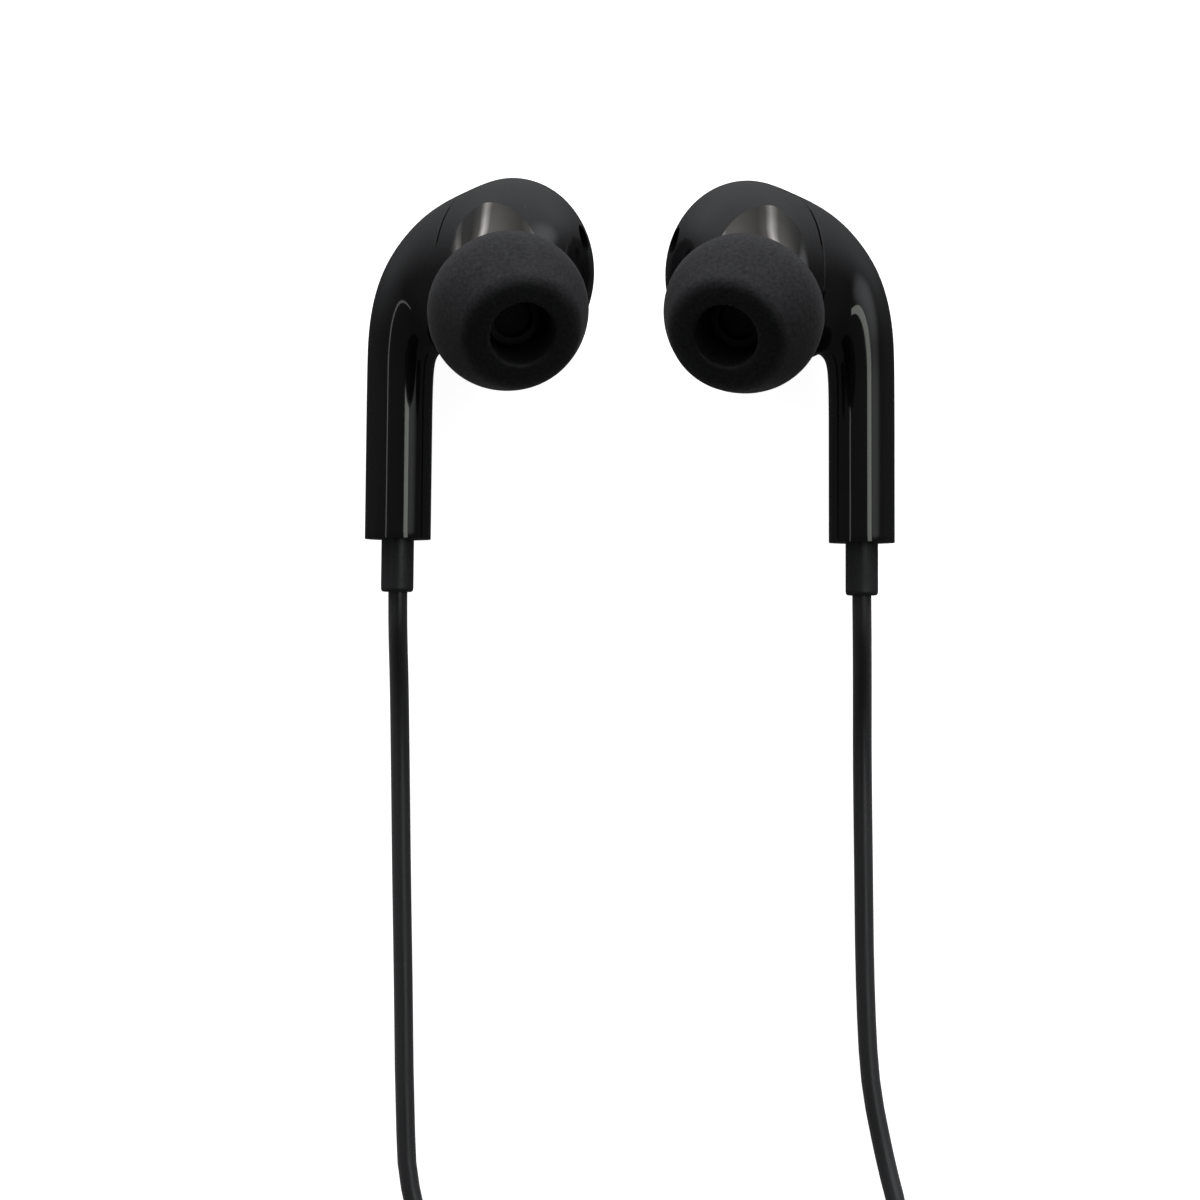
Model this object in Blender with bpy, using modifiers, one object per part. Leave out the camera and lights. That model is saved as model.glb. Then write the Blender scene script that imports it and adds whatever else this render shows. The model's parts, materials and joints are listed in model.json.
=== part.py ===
"""Wired in-ear earphones, laid on a table with their cord wound up for storage.

Metres, +Z up. The earpieces lie on their backs with their stems along Y. The origin is on
the table, under the middle of the two earpieces.
"""

import math

import bmesh
import bpy
from mathutils import Matrix, Vector

MM = 0.001

# Driving dimensions
STEM_RADIUS = 2.75 * MM
STEM_END_Y = -12.65 * MM
WALL = 0.8 * MM
GAP = 0.3 * MM
CABLE_RADIUS = 0.8 * MM
MAIN_CABLE_RADIUS = 1.0 * MM
DRIVER_RADIUS = 4.8 * MM
TIP_RADIUS = 6.65 * MM
TIP_LENGTH = 7.6 * MM
TIP_HOLE_RADIUS = 2.65 * MM
NOZZLE_RADIUS = 2.3 * MM
NOZZLE_BORE_RADIUS = 1.6 * MM
REMOTE_SIZE = Vector((5.4, 20.0, 3.9)) * MM
JACK_RADIUS = 1.75 * MM
GRIP_RADIUS = 3.1 * MM

# Where the pieces lie
EARPIECE_X = 19.2 * MM
STEM_AXIS_Z = 3.6 * MM
COIL_CENTRE = Vector((0.0, -92.0, 0.0)) * MM
COIL_INNER_RADIUS = 9.6 * MM
COIL_OUTER_RADIUS = 18.2 * MM
COIL_BOTTOM = 0.9 * MM
COIL_TOP = 10.3 * MM
REMOTE_X = 22.6 * MM
REMOTE_TOP_Y = -76.0 * MM
CABLE_SEAT_Z = 1.9 * MM
PLUG_X = -27.2 * MM
PLUG_SHOULDER_Y = -88.0 * MM
SPLIT_X = -20.9 * MM
SPLIT_LOW_Y = -97.8 * MM

# The bud in the earpiece's frame: x towards the other ear, y up the stem, z off the table
POD_AXIS = Vector((0.755, 0.0, 0.656)).normalized()
POD_WIDTH_AXIS = Vector((-POD_AXIS.z, 0.0, POD_AXIS.x))
POD_CENTRE = Vector((9.35, 9.4, 3.8)) * MM
POD_SEMI_AXES = Vector((7.1, 6.7, 8.2)) * MM
SEAM_FROM_CENTRE = -3.5 * MM
TIP_AXIS = Vector((0.25, -0.43, 0.868)).normalized()
TIP_BASE = Vector((8.55, 6.6, 11.2)) * MM
NOZZLE_FOOT = Vector((8.7, 9.6, 7.6)) * MM
VENT_AXIS = Vector((0.88, 0.315, 0.356)).normalized()

# The cords' routes on the table, in millimetres
LEFT_ROUTE = [
    (-19.35, -17.3, 4.0),
    (-19.35, -20.5, 3.6),
    (-19.3, -25.0, 1.9),
    (-19.25, -31.0, 0.9),
    (-19.15, -40.0, 0.82),
    (-19.0, -50.0, 0.82),
    (-18.85, -60.0, 0.82),
    (-18.4, -67.0, 0.82),
    (-16.2, -72.6, 0.9),
    (-10.0, -75.0, 1.3),
]
RIGHT_UPPER_ROUTE = [
    (19.3, -17.75, 4.4),
    (19.35, -21.0, 3.9),
    (19.45, -25.5, 1.9),
    (19.5, -31.5, 0.9),
    (19.6, -40.0, 0.82),
    (19.75, -50.0, 0.82),
    (20.2, -58.0, 0.82),
    (21.4, -64.5, 0.9),
    (22.45, -69.0, 1.5),
    (22.6, -72.2, 1.9),
]
RIGHT_LOWER_ROUTE = [
    (22.6, -99.8, 1.9),
    (22.0, -103.5, 1.5),
    (19.4, -107.2, 1.2),
    (15.0, -109.0, 1.3),
    (9.6, -109.4, 1.4),
]
MAIN_START_ROUTE = [(-20.9, -85.4, 2.1), (-20.3, -82.6, 3.0), (-18.6, -80.0, 4.6)]
MAIN_END_ROUTE = [
    (-8.6, -109.6, 8.6),
    (-13.2, -112.8, 5.6),
    (-17.6, -115.4, 2.2),
    (-22.0, -116.2, 1.2),
    (-25.8, -113.8, 1.8),
    (-27.2, -109.3, 3.1),
]

SHELL_SIDES = 12
CAGE_SHRINK = 0.9553  # a 12-sided cage ring shrinks by this when it is subdivided
TURN_STEPS = 24

parts = bpy.data.collections.new("wired_earphones")
cutters = bpy.data.collections.new("cutters")


def clear_scene():
    for item in list(bpy.data.objects):
        bpy.data.objects.remove(item, do_unlink=True)
    bpy.context.scene.collection.children.link(parts)
    bpy.context.scene.collection.children.link(cutters)


def material(name, colour, roughness, metallic=0.0):
    found = bpy.data.materials.get(name)
    if found:
        return found
    made = bpy.data.materials.new(name)
    made.use_nodes = True
    shader = made.node_tree.nodes["Principled BSDF"]
    shader.inputs["Base Color"].default_value = (*colour, 1.0)
    shader.inputs["Roughness"].default_value = roughness
    shader.inputs["Metallic"].default_value = metallic
    made.diffuse_color = (*colour, 1.0)
    return made


def gloss_black():
    return material("gloss_black_plastic", (0.012, 0.012, 0.013), 0.12)


def matt_black():
    return material("matt_black_rubber", (0.02, 0.02, 0.021), 0.55)


def silicone():
    return material("black_silicone", (0.03, 0.03, 0.032), 0.6)


def gunmetal():
    return material("gunmetal", (0.2, 0.19, 0.18), 0.2, 1.0)


def steel():
    return material("steel", (0.55, 0.55, 0.55), 0.3, 1.0)


def gold():
    return material("gold_plate", (0.9, 0.65, 0.3), 0.2, 1.0)


def film():
    return material("diaphragm_film", (0.7, 0.6, 0.4), 0.3)


def circuit_board():
    return material("circuit_board", (0.02, 0.12, 0.05), 0.5)


def insulator_black():
    return material("insulator_black", (0.02, 0.02, 0.02), 0.5)


def add(name, mesh, finish, collection=parts):
    made = bpy.data.objects.new(name, mesh)
    mesh.materials.clear()
    mesh.materials.append(finish)
    collection.objects.link(made)
    return made


def applied(item):
    """The object with its modifiers made into its mesh."""
    graph = bpy.context.evaluated_depsgraph_get()
    mesh = bpy.data.meshes.new_from_object(item.evaluated_get(graph))
    name = item.name
    made = bpy.data.objects.new(name, mesh)
    made.matrix_world = item.matrix_world.copy()
    for collection in item.users_collection:
        collection.objects.link(made)
    bpy.data.objects.remove(item, do_unlink=True)
    made.name = name
    return made


def axis_frame(point, axis):
    """A frame at point whose Z runs along axis."""
    turn = Vector(axis).to_track_quat("Z", "Y").to_matrix().to_4x4()
    return Matrix.Translation(point) @ turn


def ring_outline(inner, outer, bottom, top):
    return [(outer, top), (outer, bottom), (inner, bottom), (inner, top)]


def disc_outline(radius, bottom, top):
    return [(0.0, top), (radius, top), (radius, bottom), (0.0, bottom)]


def outline_mesh(name, outline, closed):
    mesh = bpy.data.meshes.new(name)
    edges = [(i, i + 1) for i in range(len(outline) - 1)]
    if closed:
        edges.append((len(outline) - 1, 0))
    mesh.from_pydata([(r, 0.0, h) for r, h in outline], edges, [])
    return mesh


def turned(name, outline, finish, frame, closed=False, steps=TURN_STEPS, collection=parts):
    """A turned piece. The outline gives (radius, height), down its outer side first."""
    made = add(name, outline_mesh(name, outline, closed), finish, collection)
    screw = made.modifiers.new("turn", "SCREW")
    screw.axis = "Z"
    screw.steps = steps
    screw.render_steps = steps
    screw.use_merge_vertices = True
    screw.merge_threshold = 1e-6
    made.matrix_world = frame
    bpy.context.view_layer.update()
    made = applied(made)
    made.data.shade_smooth()
    made.data.set_sharp_from_angle(angle=math.radians(35))
    return made


def smooth_route(points, steps):
    """Points along one smooth curve through the route's own points."""
    spline = []
    padded = [points[0] * 2 - points[1], *points, points[-1] * 2 - points[-2]]
    for i in range(1, len(padded) - 2):
        before, start, end, after = padded[i - 1 : i + 3]
        for k in range(steps):
            t = k / steps
            spline.append(
                0.5
                * (
                    2 * start
                    + (end - before) * t
                    + (2 * before - 5 * start + 4 * end - after) * t**2
                    + (3 * start - before - 3 * end + after) * t**3
                )
            )
    spline.append(points[-1])
    return spline


def tube(name, points, radius, finish, cyclic=False):
    curve = bpy.data.curves.new(name, "CURVE")
    curve.dimensions = "3D"
    curve.bevel_depth = radius
    curve.bevel_resolution = 2
    curve.use_fill_caps = True
    spline = curve.splines.new("POLY")
    spline.points.add(len(points) - 1)
    spline.use_cyclic_u = cyclic
    for target, point in zip(spline.points, points):
        target.co = (*point, 1.0)
    curve.materials.append(finish)
    made = bpy.data.objects.new(name, curve)
    parts.objects.link(made)
    return made


def rounded_box(name, size, centre, finish, round_by=0.0, collection=parts):
    mesh = bpy.data.meshes.new(name)
    body = bmesh.new()
    bmesh.ops.create_cube(body, size=1.0)
    bmesh.ops.scale(body, vec=size, verts=body.verts)
    if round_by:
        bmesh.ops.bevel(
            body, geom=body.edges, offset=round_by, segments=2, affect="EDGES", profile=0.5
        )
    body.to_mesh(mesh)
    body.free()
    made = add(name, mesh, finish, collection)
    made.location = centre
    bpy.context.view_layer.update()
    return made


def cut(item, cutter):
    """Takes the cutter's shape out of the item, and removes the cutter."""
    cutter.hide_render = True
    cutter.display_type = "WIRE"
    knife = item.modifiers.new("cut", "BOOLEAN")
    knife.operation = "DIFFERENCE"
    knife.object = cutter
    bpy.context.view_layer.update()
    made = applied(item)
    bpy.data.objects.remove(cutter, do_unlink=True)
    return made


def earpiece_frames():
    """One empty for each ear. The right one mirrors the left, and lies turned further over."""
    left = bpy.data.objects.new("left_earpiece", None)
    left.location = (-EARPIECE_X, 0.0, STEM_AXIS_Z)
    left.rotation_euler = (math.radians(-1.5), 0.0, math.radians(-0.7))
    right = bpy.data.objects.new("right_earpiece", None)
    right.location = (EARPIECE_X + 0.1 * MM, -0.3 * MM, STEM_AXIS_Z + 0.45 * MM)
    right.rotation_euler = (math.radians(-1.5), math.radians(-4.2), math.radians(0.1))
    right.scale = (-1.0, 1.0, 1.0)
    for ear in (left, right):
        parts.objects.link(ear)
    bpy.context.view_layer.update()
    return left, right


def for_both_ears(item, ears):
    """Puts the piece in the left ear's frame, and a copy that shares its mesh in the right's."""
    left, right = ears
    base = item.name
    place = item.matrix_world.copy()
    copy = item.copy()
    parts.objects.link(copy)
    item.name = f"left_{base}"
    copy.name = f"right_{base}"
    for piece, ear in ((item, left), (copy, right)):
        piece.parent = ear
        piece.matrix_parent_inverse = Matrix.Identity(4)
        piece.matrix_basis = place


def pod_point(along, across=0.0, up=0.0):
    return POD_CENTRE + along * POD_AXIS + across * POD_WIDTH_AXIS + Vector((0.0, up, 0.0))


def pod_section(along):
    """The bud's half height and half width at this distance along its axis."""
    inside = math.sqrt(max(0.0, 1.0 - (along / POD_SEMI_AXES.x) ** 2))
    return POD_SEMI_AXES.z * inside, POD_SEMI_AXES.y * inside


def shell_stations():
    """Sections along the shell, from the stem's end to the bud's front.

    Each is (centre, turn from the stem's section to the bud's, half height, half width).
    """
    stem = [
        (Vector((0.0, y, 0.0)), 0.0, STEM_RADIUS, STEM_RADIUS)
        for y in (STEM_END_Y, -4.0 * MM, 1.6 * MM)
    ]
    bend = [
        (Vector((0.2, 4.25, 0.05)) * MM, 0.30, 3.22 * MM, 2.95 * MM),
        (Vector((1.25, 6.95, 0.0)) * MM, 0.62, 4.55 * MM, 3.4 * MM),
        (Vector((3.65, 8.85, 0.0)) * MM, 0.90, 6.35 * MM, 4.4 * MM),
    ]
    pod = []
    for along in (-3.3, 0.0, 3.4, 5.7, 6.75):
        half_height, half_width = pod_section(along * MM)
        pod.append((pod_point(along * MM), 1.0, half_height, half_width))
    return stem + bend + pod


def section_frame(turn):
    """Axes of a section: half height, half width and the way along the shell."""
    stem = Matrix(((-1.0, 0.0, 0.0), (0.0, 0.0, 1.0), (0.0, 1.0, 0.0))).transposed()
    pod = Matrix(((0.0, 1.0, 0.0), tuple(POD_WIDTH_AXIS), tuple(POD_AXIS))).transposed()
    return stem.to_quaternion().slerp(pod.to_quaternion(), turn).to_matrix().to_4x4()


def shell_surface(name, grow, levels):
    """The shell's outer skin, open at the stem's end, as one subdivided cage."""
    body = bmesh.new()
    rings = []
    for centre, turn, half_height, half_width in shell_stations():
        size = Matrix.Diagonal((half_height + grow, half_width + grow, 1.0, 1.0))
        frame = Matrix.Translation(centre) @ section_frame(turn) @ size
        ring = bmesh.ops.create_circle(
            body, segments=SHELL_SIDES, radius=1.0 / CAGE_SHRINK, matrix=frame
        )
        rings.append(list({edge for vert in ring["verts"] for edge in vert.link_edges}))
    for first, second in zip(rings, rings[1:]):
        bmesh.ops.bridge_loops(body, edges=first + second)
    bmesh.ops.holes_fill(body, edges=rings[-1], sides=SHELL_SIDES)
    bmesh.ops.recalc_face_normals(body, faces=body.faces)
    mesh = bpy.data.meshes.new(name)
    body.to_mesh(mesh)
    body.free()
    made = add(name, mesh, gloss_black())
    smooth = made.modifiers.new("smooth", "SUBSURF")
    smooth.levels = levels
    smooth.render_levels = levels
    bpy.context.view_layer.update()
    return applied(made)


def half_shell(name, keep_front):
    """The part of the skin on one side of the seam, thickened inwards."""
    made = shell_surface(name, 0.0, 1)
    side = 1.0 if keep_front else -1.0
    body = bmesh.new()
    body.from_mesh(made.data)
    bmesh.ops.bisect_plane(
        body,
        geom=body.verts[:] + body.edges[:] + body.faces[:],
        plane_co=pod_point(SEAM_FROM_CENTRE + side * GAP / 2),
        plane_no=POD_AXIS * side,
        clear_inner=True,
    )
    body.to_mesh(made.data)
    body.free()
    made.data.shade_smooth()
    wall = made.modifiers.new("wall", "SOLIDIFY")
    wall.thickness = WALL
    wall.offset = -1.0
    bpy.context.view_layer.update()
    return applied(made)


def cutting_rod(frame, radius, length, across=1.0):
    return turned(
        "cutter",
        disc_outline(radius, -length, length),
        gloss_black(),
        frame @ Matrix.Diagonal((1.0, across, 1.0, 1.0)),
        collection=cutters,
    )


def cutting_box(size, centre):
    return rounded_box("cutter", size, centre, gloss_black(), collection=cutters)


def tip_point(height):
    return TIP_BASE + height * TIP_AXIS


def vent_frame():
    """A frame at the vent, with its Y up the earpiece and its Z out of the wall."""
    across = Vector((0.0, 1.0, 0.0)).cross(VENT_AXIS).normalized()
    up = VENT_AXIS.cross(across)
    turn = Matrix((across, up, VENT_AXIS)).transposed().to_4x4()
    return Matrix.Translation(pod_point(6.25 * MM, -1.9 * MM, 2.8 * MM)) @ turn


def make_shells(ears):
    back = half_shell("back_shell", False)
    front = half_shell("front_shell", True)
    sound_hole = axis_frame(NOZZLE_FOOT, tip_point(0.0) - NOZZLE_FOOT)
    front = cut(front, cutting_rod(sound_hole, NOZZLE_BORE_RADIUS, 4.0 * MM))
    front = cut(front, cutting_rod(vent_frame(), 0.75 * MM, 2.5 * MM, across=1.5))
    for shell in (back, front):
        for_both_ears(shell, ears)


def make_nozzle(ears):
    """A turned tube whose flared foot leans over to lie on the front shell."""
    root, foot, neck, barrel_end = -6.8 * MM, -4.6 * MM, 0.9 * MM, 4.4 * MM
    outline = [
        (NOZZLE_BORE_RADIUS, barrel_end),
        (NOZZLE_RADIUS - 0.2 * MM, barrel_end),
        (NOZZLE_RADIUS, barrel_end - 0.2 * MM),
        (NOZZLE_RADIUS, neck + 0.1 * MM),
        (2.9 * MM, neck),
        (2.95 * MM, 0.0),
        (3.4 * MM, -1.2 * MM),
        (4.6 * MM, -2.6 * MM),
        (4.8 * MM, foot),
        (4.6 * MM, root),
        (NOZZLE_BORE_RADIUS, root),
        (NOZZLE_BORE_RADIUS, -1.5 * MM),
        (NOZZLE_BORE_RADIUS, 0.0),
    ]
    frame = axis_frame(tip_point(0.0), TIP_AXIS)
    nozzle = turned("nozzle", outline, gunmetal(), frame, closed=True)
    lean = frame.to_3x3().inverted() @ (NOZZLE_FOOT - tip_point(foot))
    lean.z = 0.0
    for vert in nozzle.data.vertices:
        depth = max(0.0, vert.co.z / foot)
        vert.co += lean * depth
    skin = shell_surface("skin", GAP / 2, 1)
    body = bmesh.new()
    body.from_mesh(skin.data)
    bmesh.ops.holes_fill(body, edges=body.edges, sides=0)
    bmesh.ops.recalc_face_normals(body, faces=body.faces)
    body.to_mesh(skin.data)
    body.free()
    nozzle = cut(nozzle, skin)
    for_both_ears(nozzle, ears)
    guard = disc_outline(
        NOZZLE_BORE_RADIUS - 0.1 * MM, barrel_end - 0.9 * MM, barrel_end - 0.6 * MM
    )
    for_both_ears(turned("nozzle_mesh", guard, steel(), frame), ears)


def make_ear_tip(ears):
    """A mushroom of silicone: a sleeve over the nozzle, rolled over into a soft skirt."""
    front = TIP_LENGTH
    outline = [
        (TIP_HOLE_RADIUS, front - 0.9 * MM),
        (TIP_HOLE_RADIUS + 0.15 * MM, front - 0.2 * MM),
        (TIP_HOLE_RADIUS + 0.5 * MM, front),
        (TIP_RADIUS - 2.7 * MM, front - 0.05 * MM),
        (TIP_RADIUS - 2.0 * MM, front - 0.3 * MM),
        (TIP_RADIUS - 1.45 * MM, front - 1.0 * MM),
        (TIP_RADIUS - 0.55 * MM, front - 2.9 * MM),
        (TIP_RADIUS - 0.1 * MM, front - 4.4 * MM),
        (TIP_RADIUS, front - 5.2 * MM),
        (TIP_RADIUS - 0.1 * MM, 1.2 * MM),
        (TIP_RADIUS - 0.4 * MM, 0.7 * MM),
        (TIP_RADIUS - 0.65 * MM, 1.0 * MM),
        (TIP_RADIUS - 0.5 * MM, front - 5.2 * MM),
        (TIP_RADIUS - 0.9 * MM, front - 3.4 * MM),
        (TIP_RADIUS - 1.7 * MM, front - 1.8 * MM),
        (3.9 * MM, front - 1.3 * MM),
        (3.4 * MM, front - 2.0 * MM),
        (3.4 * MM, 1.4 * MM),
        (TIP_HOLE_RADIUS, 1.4 * MM),
    ]
    frame = axis_frame(tip_point(0.0), TIP_AXIS)
    for_both_ears(turned("ear_tip", outline, silicone(), frame, closed=True), ears)


def make_driver(ears):
    """The moving-coil driver, on the bud's axis just in front of the seam."""
    frame = axis_frame(pod_point(0.0), POD_AXIS)
    rim = DRIVER_RADIUS
    rim_wall = 0.6 * MM
    top, bottom = 1.6 * MM, -1.4 * MM
    basket = [
        (rim, top),
        (rim, bottom),
        (1.2 * MM, bottom),
        (1.2 * MM, bottom + 0.4 * MM),
        (rim - rim_wall, bottom + 0.4 * MM),
        (rim - rim_wall, top),
    ]
    magnet = ring_outline(0.6 * MM, 3.0 * MM, -0.7 * MM, 0.5 * MM)
    gasket = ring_outline(rim - 0.8 * MM, rim - 0.1 * MM, top + GAP, top + GAP + 0.4 * MM)
    for_both_ears(turned("driver_frame", basket, steel(), frame, closed=True), ears)
    for_both_ears(turned("driver_magnet", magnet, gunmetal(), frame, closed=True), ears)
    for_both_ears(turned("driver_gasket", gasket, matt_black(), frame, closed=True), ears)
    crest, valley, film_thickness = 1.65 * MM, 1.0 * MM, 0.2 * MM
    dome = [
        (0.0, crest),
        (1.6 * MM, crest - 0.2 * MM),
        (2.4 * MM, valley),
        (3.2 * MM, valley + 0.25 * MM),
        (rim - rim_wall - GAP, valley),
    ]
    under = [(radius, height - film_thickness) for radius, height in reversed(dome)]
    for_both_ears(turned("driver_diaphragm", dome + under, film(), frame), ears)
    board = disc_outline(2.4 * MM, bottom - 0.9 * MM, bottom - 0.4 * MM)
    for_both_ears(turned("driver_board", board, circuit_board(), frame), ears)


def make_vent_mesh(ears):
    """An oval disc of mesh, just inside the vent."""
    inside = vent_frame() @ Matrix.Translation((0.0, 0.0, -1.35 * MM))
    oval = inside @ Matrix.Diagonal((1.0, 1.4, 1.0, 1.0))
    disc = disc_outline(0.95 * MM, -0.1 * MM, 0.1 * MM)
    for_both_ears(turned("vent_mesh", disc, steel(), oval), ears)


def make_stem_end(ears):
    """The cap pressed into the stem's end, the strain relief through it and the wires inside."""
    down = axis_frame((0.0, STEM_END_Y, 0.0), (0.0, -1.0, 0.0))
    bore = 1.55 * MM
    cap = ring_outline(bore, STEM_RADIUS - WALL - 0.1 * MM, -1.6 * MM, -0.15 * MM)
    for_both_ears(turned("stem_cap", cap, gloss_black(), down, closed=True), ears)
    relief_radius = 1.375 * MM
    relief = [
        (CABLE_RADIUS + 0.1 * MM, 4.4 * MM),
        (relief_radius - 0.3 * MM, 4.4 * MM),
        (relief_radius, 4.1 * MM),
        (relief_radius, -1.8 * MM),
        (bore + 0.25 * MM, -1.8 * MM),
        (bore + 0.25 * MM, -2.6 * MM),
        (0.4 * MM, -2.6 * MM),
        (0.4 * MM, 3.6 * MM),
        (CABLE_RADIUS + 0.1 * MM, 3.6 * MM),
    ]
    for_both_ears(turned("strain_relief", relief, matt_black(), down, closed=True), ears)
    route = [
        Vector(point) * MM
        for point in ((0, -9.4, 0), (0, -3, 0), (0.3, 3, 0), (2.2, 7.0, -0.1), (5.3, 9.0, 0.6))
    ]
    lead = tube("inner_lead", smooth_route(route, 3), 0.35 * MM, matt_black())
    for_both_ears(lead, ears)


def route_points(route, steps):
    return smooth_route([Vector(point) * MM for point in route], steps)


def make_cords():
    rubber = matt_black()
    tube("left_cable", route_points(LEFT_ROUTE, 2), CABLE_RADIUS, rubber)
    tube("right_cable_upper", route_points(RIGHT_UPPER_ROUTE, 2), CABLE_RADIUS, rubber)
    tube("right_cable_lower", route_points(RIGHT_LOWER_ROUTE, 3), CABLE_RADIUS, rubber)
    tube("main_cable_start", route_points(MAIN_START_ROUTE, 2), MAIN_CABLE_RADIUS, rubber)
    tube("main_cable_end", route_points(MAIN_END_ROUTE, 3), MAIN_CABLE_RADIUS, rubber)


def make_coil():
    """The cord wound up: one ring of the winding's outer shape, with two ties round it."""
    corner = 0.8 * MM
    outline = [
        (COIL_INNER_RADIUS, COIL_TOP - corner),
        (COIL_INNER_RADIUS + corner, COIL_TOP),
        (COIL_OUTER_RADIUS - corner, COIL_TOP),
        (COIL_OUTER_RADIUS, COIL_TOP - corner),
        (COIL_OUTER_RADIUS, COIL_BOTTOM + corner),
        (COIL_OUTER_RADIUS - corner, COIL_BOTTOM),
        (COIL_INNER_RADIUS + corner, COIL_BOTTOM),
        (COIL_INNER_RADIUS, COIL_BOTTOM + corner),
    ]
    frame = Matrix.Translation(COIL_CENTRE)
    turned("cable_coil", outline, matt_black(), frame, closed=True, steps=32)


def make_ties():
    """Two flat bands round the winding's section, which the coil lies on."""
    band_thickness = 0.6 * MM
    band_width = 3.5 * MM
    clear = GAP
    middle = (COIL_INNER_RADIUS + COIL_OUTER_RADIUS) / 2
    half_across = (COIL_OUTER_RADIUS - COIL_INNER_RADIUS) / 2 + clear
    height = COIL_TOP - COIL_BOTTOM + 2 * clear
    centre_height = (COIL_TOP + COIL_BOTTOM) / 2
    outer = Vector((2 * half_across, band_width, height))
    outer += Vector((2 * band_thickness, 0.0, 2 * band_thickness))
    hollow = Vector((2 * half_across, 2 * band_width, height))
    for name, degrees in (("coil_tie_right", 35.0), ("coil_tie_left", 150.0)):
        angle = math.radians(degrees)
        outward = Vector((math.cos(angle), math.sin(angle), 0.0))
        centre = COIL_CENTRE + outward * middle + Vector((0.0, 0.0, centre_height))
        band = rounded_box(name, outer, centre, matt_black())
        hole = cutting_box(hollow, centre)
        for box in (band, hole):
            box.rotation_euler = (0.0, 0.0, angle)
        bpy.context.view_layer.update()
        cut(band, hole)


def make_split():
    """The moulded split, flattened, where the two cables become one."""
    length = 12.0 * MM
    outline = [
        (0.0, length),
        (1.25 * MM, length),
        (1.45 * MM, length - 0.3 * MM),
        (2.1 * MM, 3.0 * MM),
        (2.2 * MM, 0.5 * MM),
        (1.9 * MM, 0.0),
        (0.0, 0.0),
    ]
    flat = Matrix.Diagonal((1.0, 0.85, 1.0, 1.0))
    frame = axis_frame((SPLIT_X, SPLIT_LOW_Y, 2.0 * MM), (0.0, 1.0, 0.0)) @ flat
    turned("y_split", outline, matt_black(), frame)


def make_remote_housing(middle, button_centre, button_size, mic_place):
    """A tray and a cover, each hollowed, with openings for the button and the microphone."""
    size = REMOTE_SIZE
    wall = 0.7 * MM
    inner = Vector((size.x - 2 * wall, size.y - 2 * wall, 0.0))
    tray_size = Vector((size.x, size.y, CABLE_SEAT_Z))
    tray_centre = middle + Vector((0.0, 0.0, tray_size.z / 2))
    tray = rounded_box("remote_base", tray_size, tray_centre, gloss_black())
    hollow = inner + Vector((0.0, 0.0, tray_size.z))
    cut(tray, cutting_box(hollow, tray_centre + Vector((0.0, 0.0, wall))))
    cover_size = Vector((size.x, size.y, size.z - tray_size.z - 0.2 * MM))
    cover_centre = middle + Vector((0.0, 0.0, size.z - cover_size.z / 2))
    cover = rounded_box("remote_cover", cover_size, cover_centre, gloss_black())
    hollow = inner + Vector((0.0, 0.0, cover_size.z))
    cover = cut(cover, cutting_box(hollow, cover_centre - Vector((0.0, 0.0, wall))))
    opening = button_size + Vector((0.4, 0.4, 2.6)) * MM
    cover = cut(cover, cutting_box(opening, button_centre))
    cut(cover, cutting_rod(Matrix.Translation(mic_place), 0.45 * MM, 2.0 * MM))


def make_remote_reliefs():
    seat = CABLE_RADIUS + 0.1 * MM
    length = 3.4 * MM
    outline = [
        (0.0, length - 0.6 * MM),
        (seat, length - 0.6 * MM),
        (seat, length),
        (1.2 * MM, length),
        (1.5 * MM, 0.0),
        (0.0, 0.0),
    ]
    for name, end, way in (
        ("remote_upper_relief", REMOTE_TOP_Y + GAP, 1.0),
        ("remote_lower_relief", REMOTE_TOP_Y - REMOTE_SIZE.y - GAP, -1.0),
    ):
        frame = axis_frame((REMOTE_X, end, CABLE_SEAT_Z), (0.0, way, 0.0))
        turned(name, outline, matt_black(), frame, steps=16)


def make_remote():
    """A button remote with its microphone, in line with the right cable."""
    middle = Vector((REMOTE_X, REMOTE_TOP_Y - REMOTE_SIZE.y / 2, 0.0))
    button_size = Vector((2.8, 7.0, 1.4)) * MM
    button_centre = middle + Vector((0.0, 2.0 * MM, REMOTE_SIZE.z))
    mic_place = middle + Vector((0.0, -6.5 * MM, REMOTE_SIZE.z))
    make_remote_housing(middle, button_centre, button_size, mic_place)
    sunk = button_centre - Vector((0.0, 0.0, 0.25 * MM))
    rounded_box("remote_button", button_size, sunk, matt_black(), 0.15 * MM)
    board_size = Vector((REMOTE_SIZE.x - 2.2 * MM, REMOTE_SIZE.y - 3.0 * MM, 0.4 * MM))
    board_centre = middle + Vector((0.0, 0.0, 1.3 * MM))
    rounded_box("remote_board", board_size, board_centre, circuit_board())
    switch_size = Vector((2.2, 3.0, 0.7)) * MM
    switch_centre = Vector((REMOTE_X, button_centre.y, 1.95 * MM))
    rounded_box("remote_switch", switch_size, switch_centre, steel(), 0.1 * MM)
    capsule = disc_outline(1.2 * MM, -0.4 * MM, 0.4 * MM)
    capsule_frame = Matrix.Translation((REMOTE_X, mic_place.y, 2.1 * MM))
    turned("remote_microphone", capsule, steel(), capsule_frame, steps=16)
    make_remote_reliefs()


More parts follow.
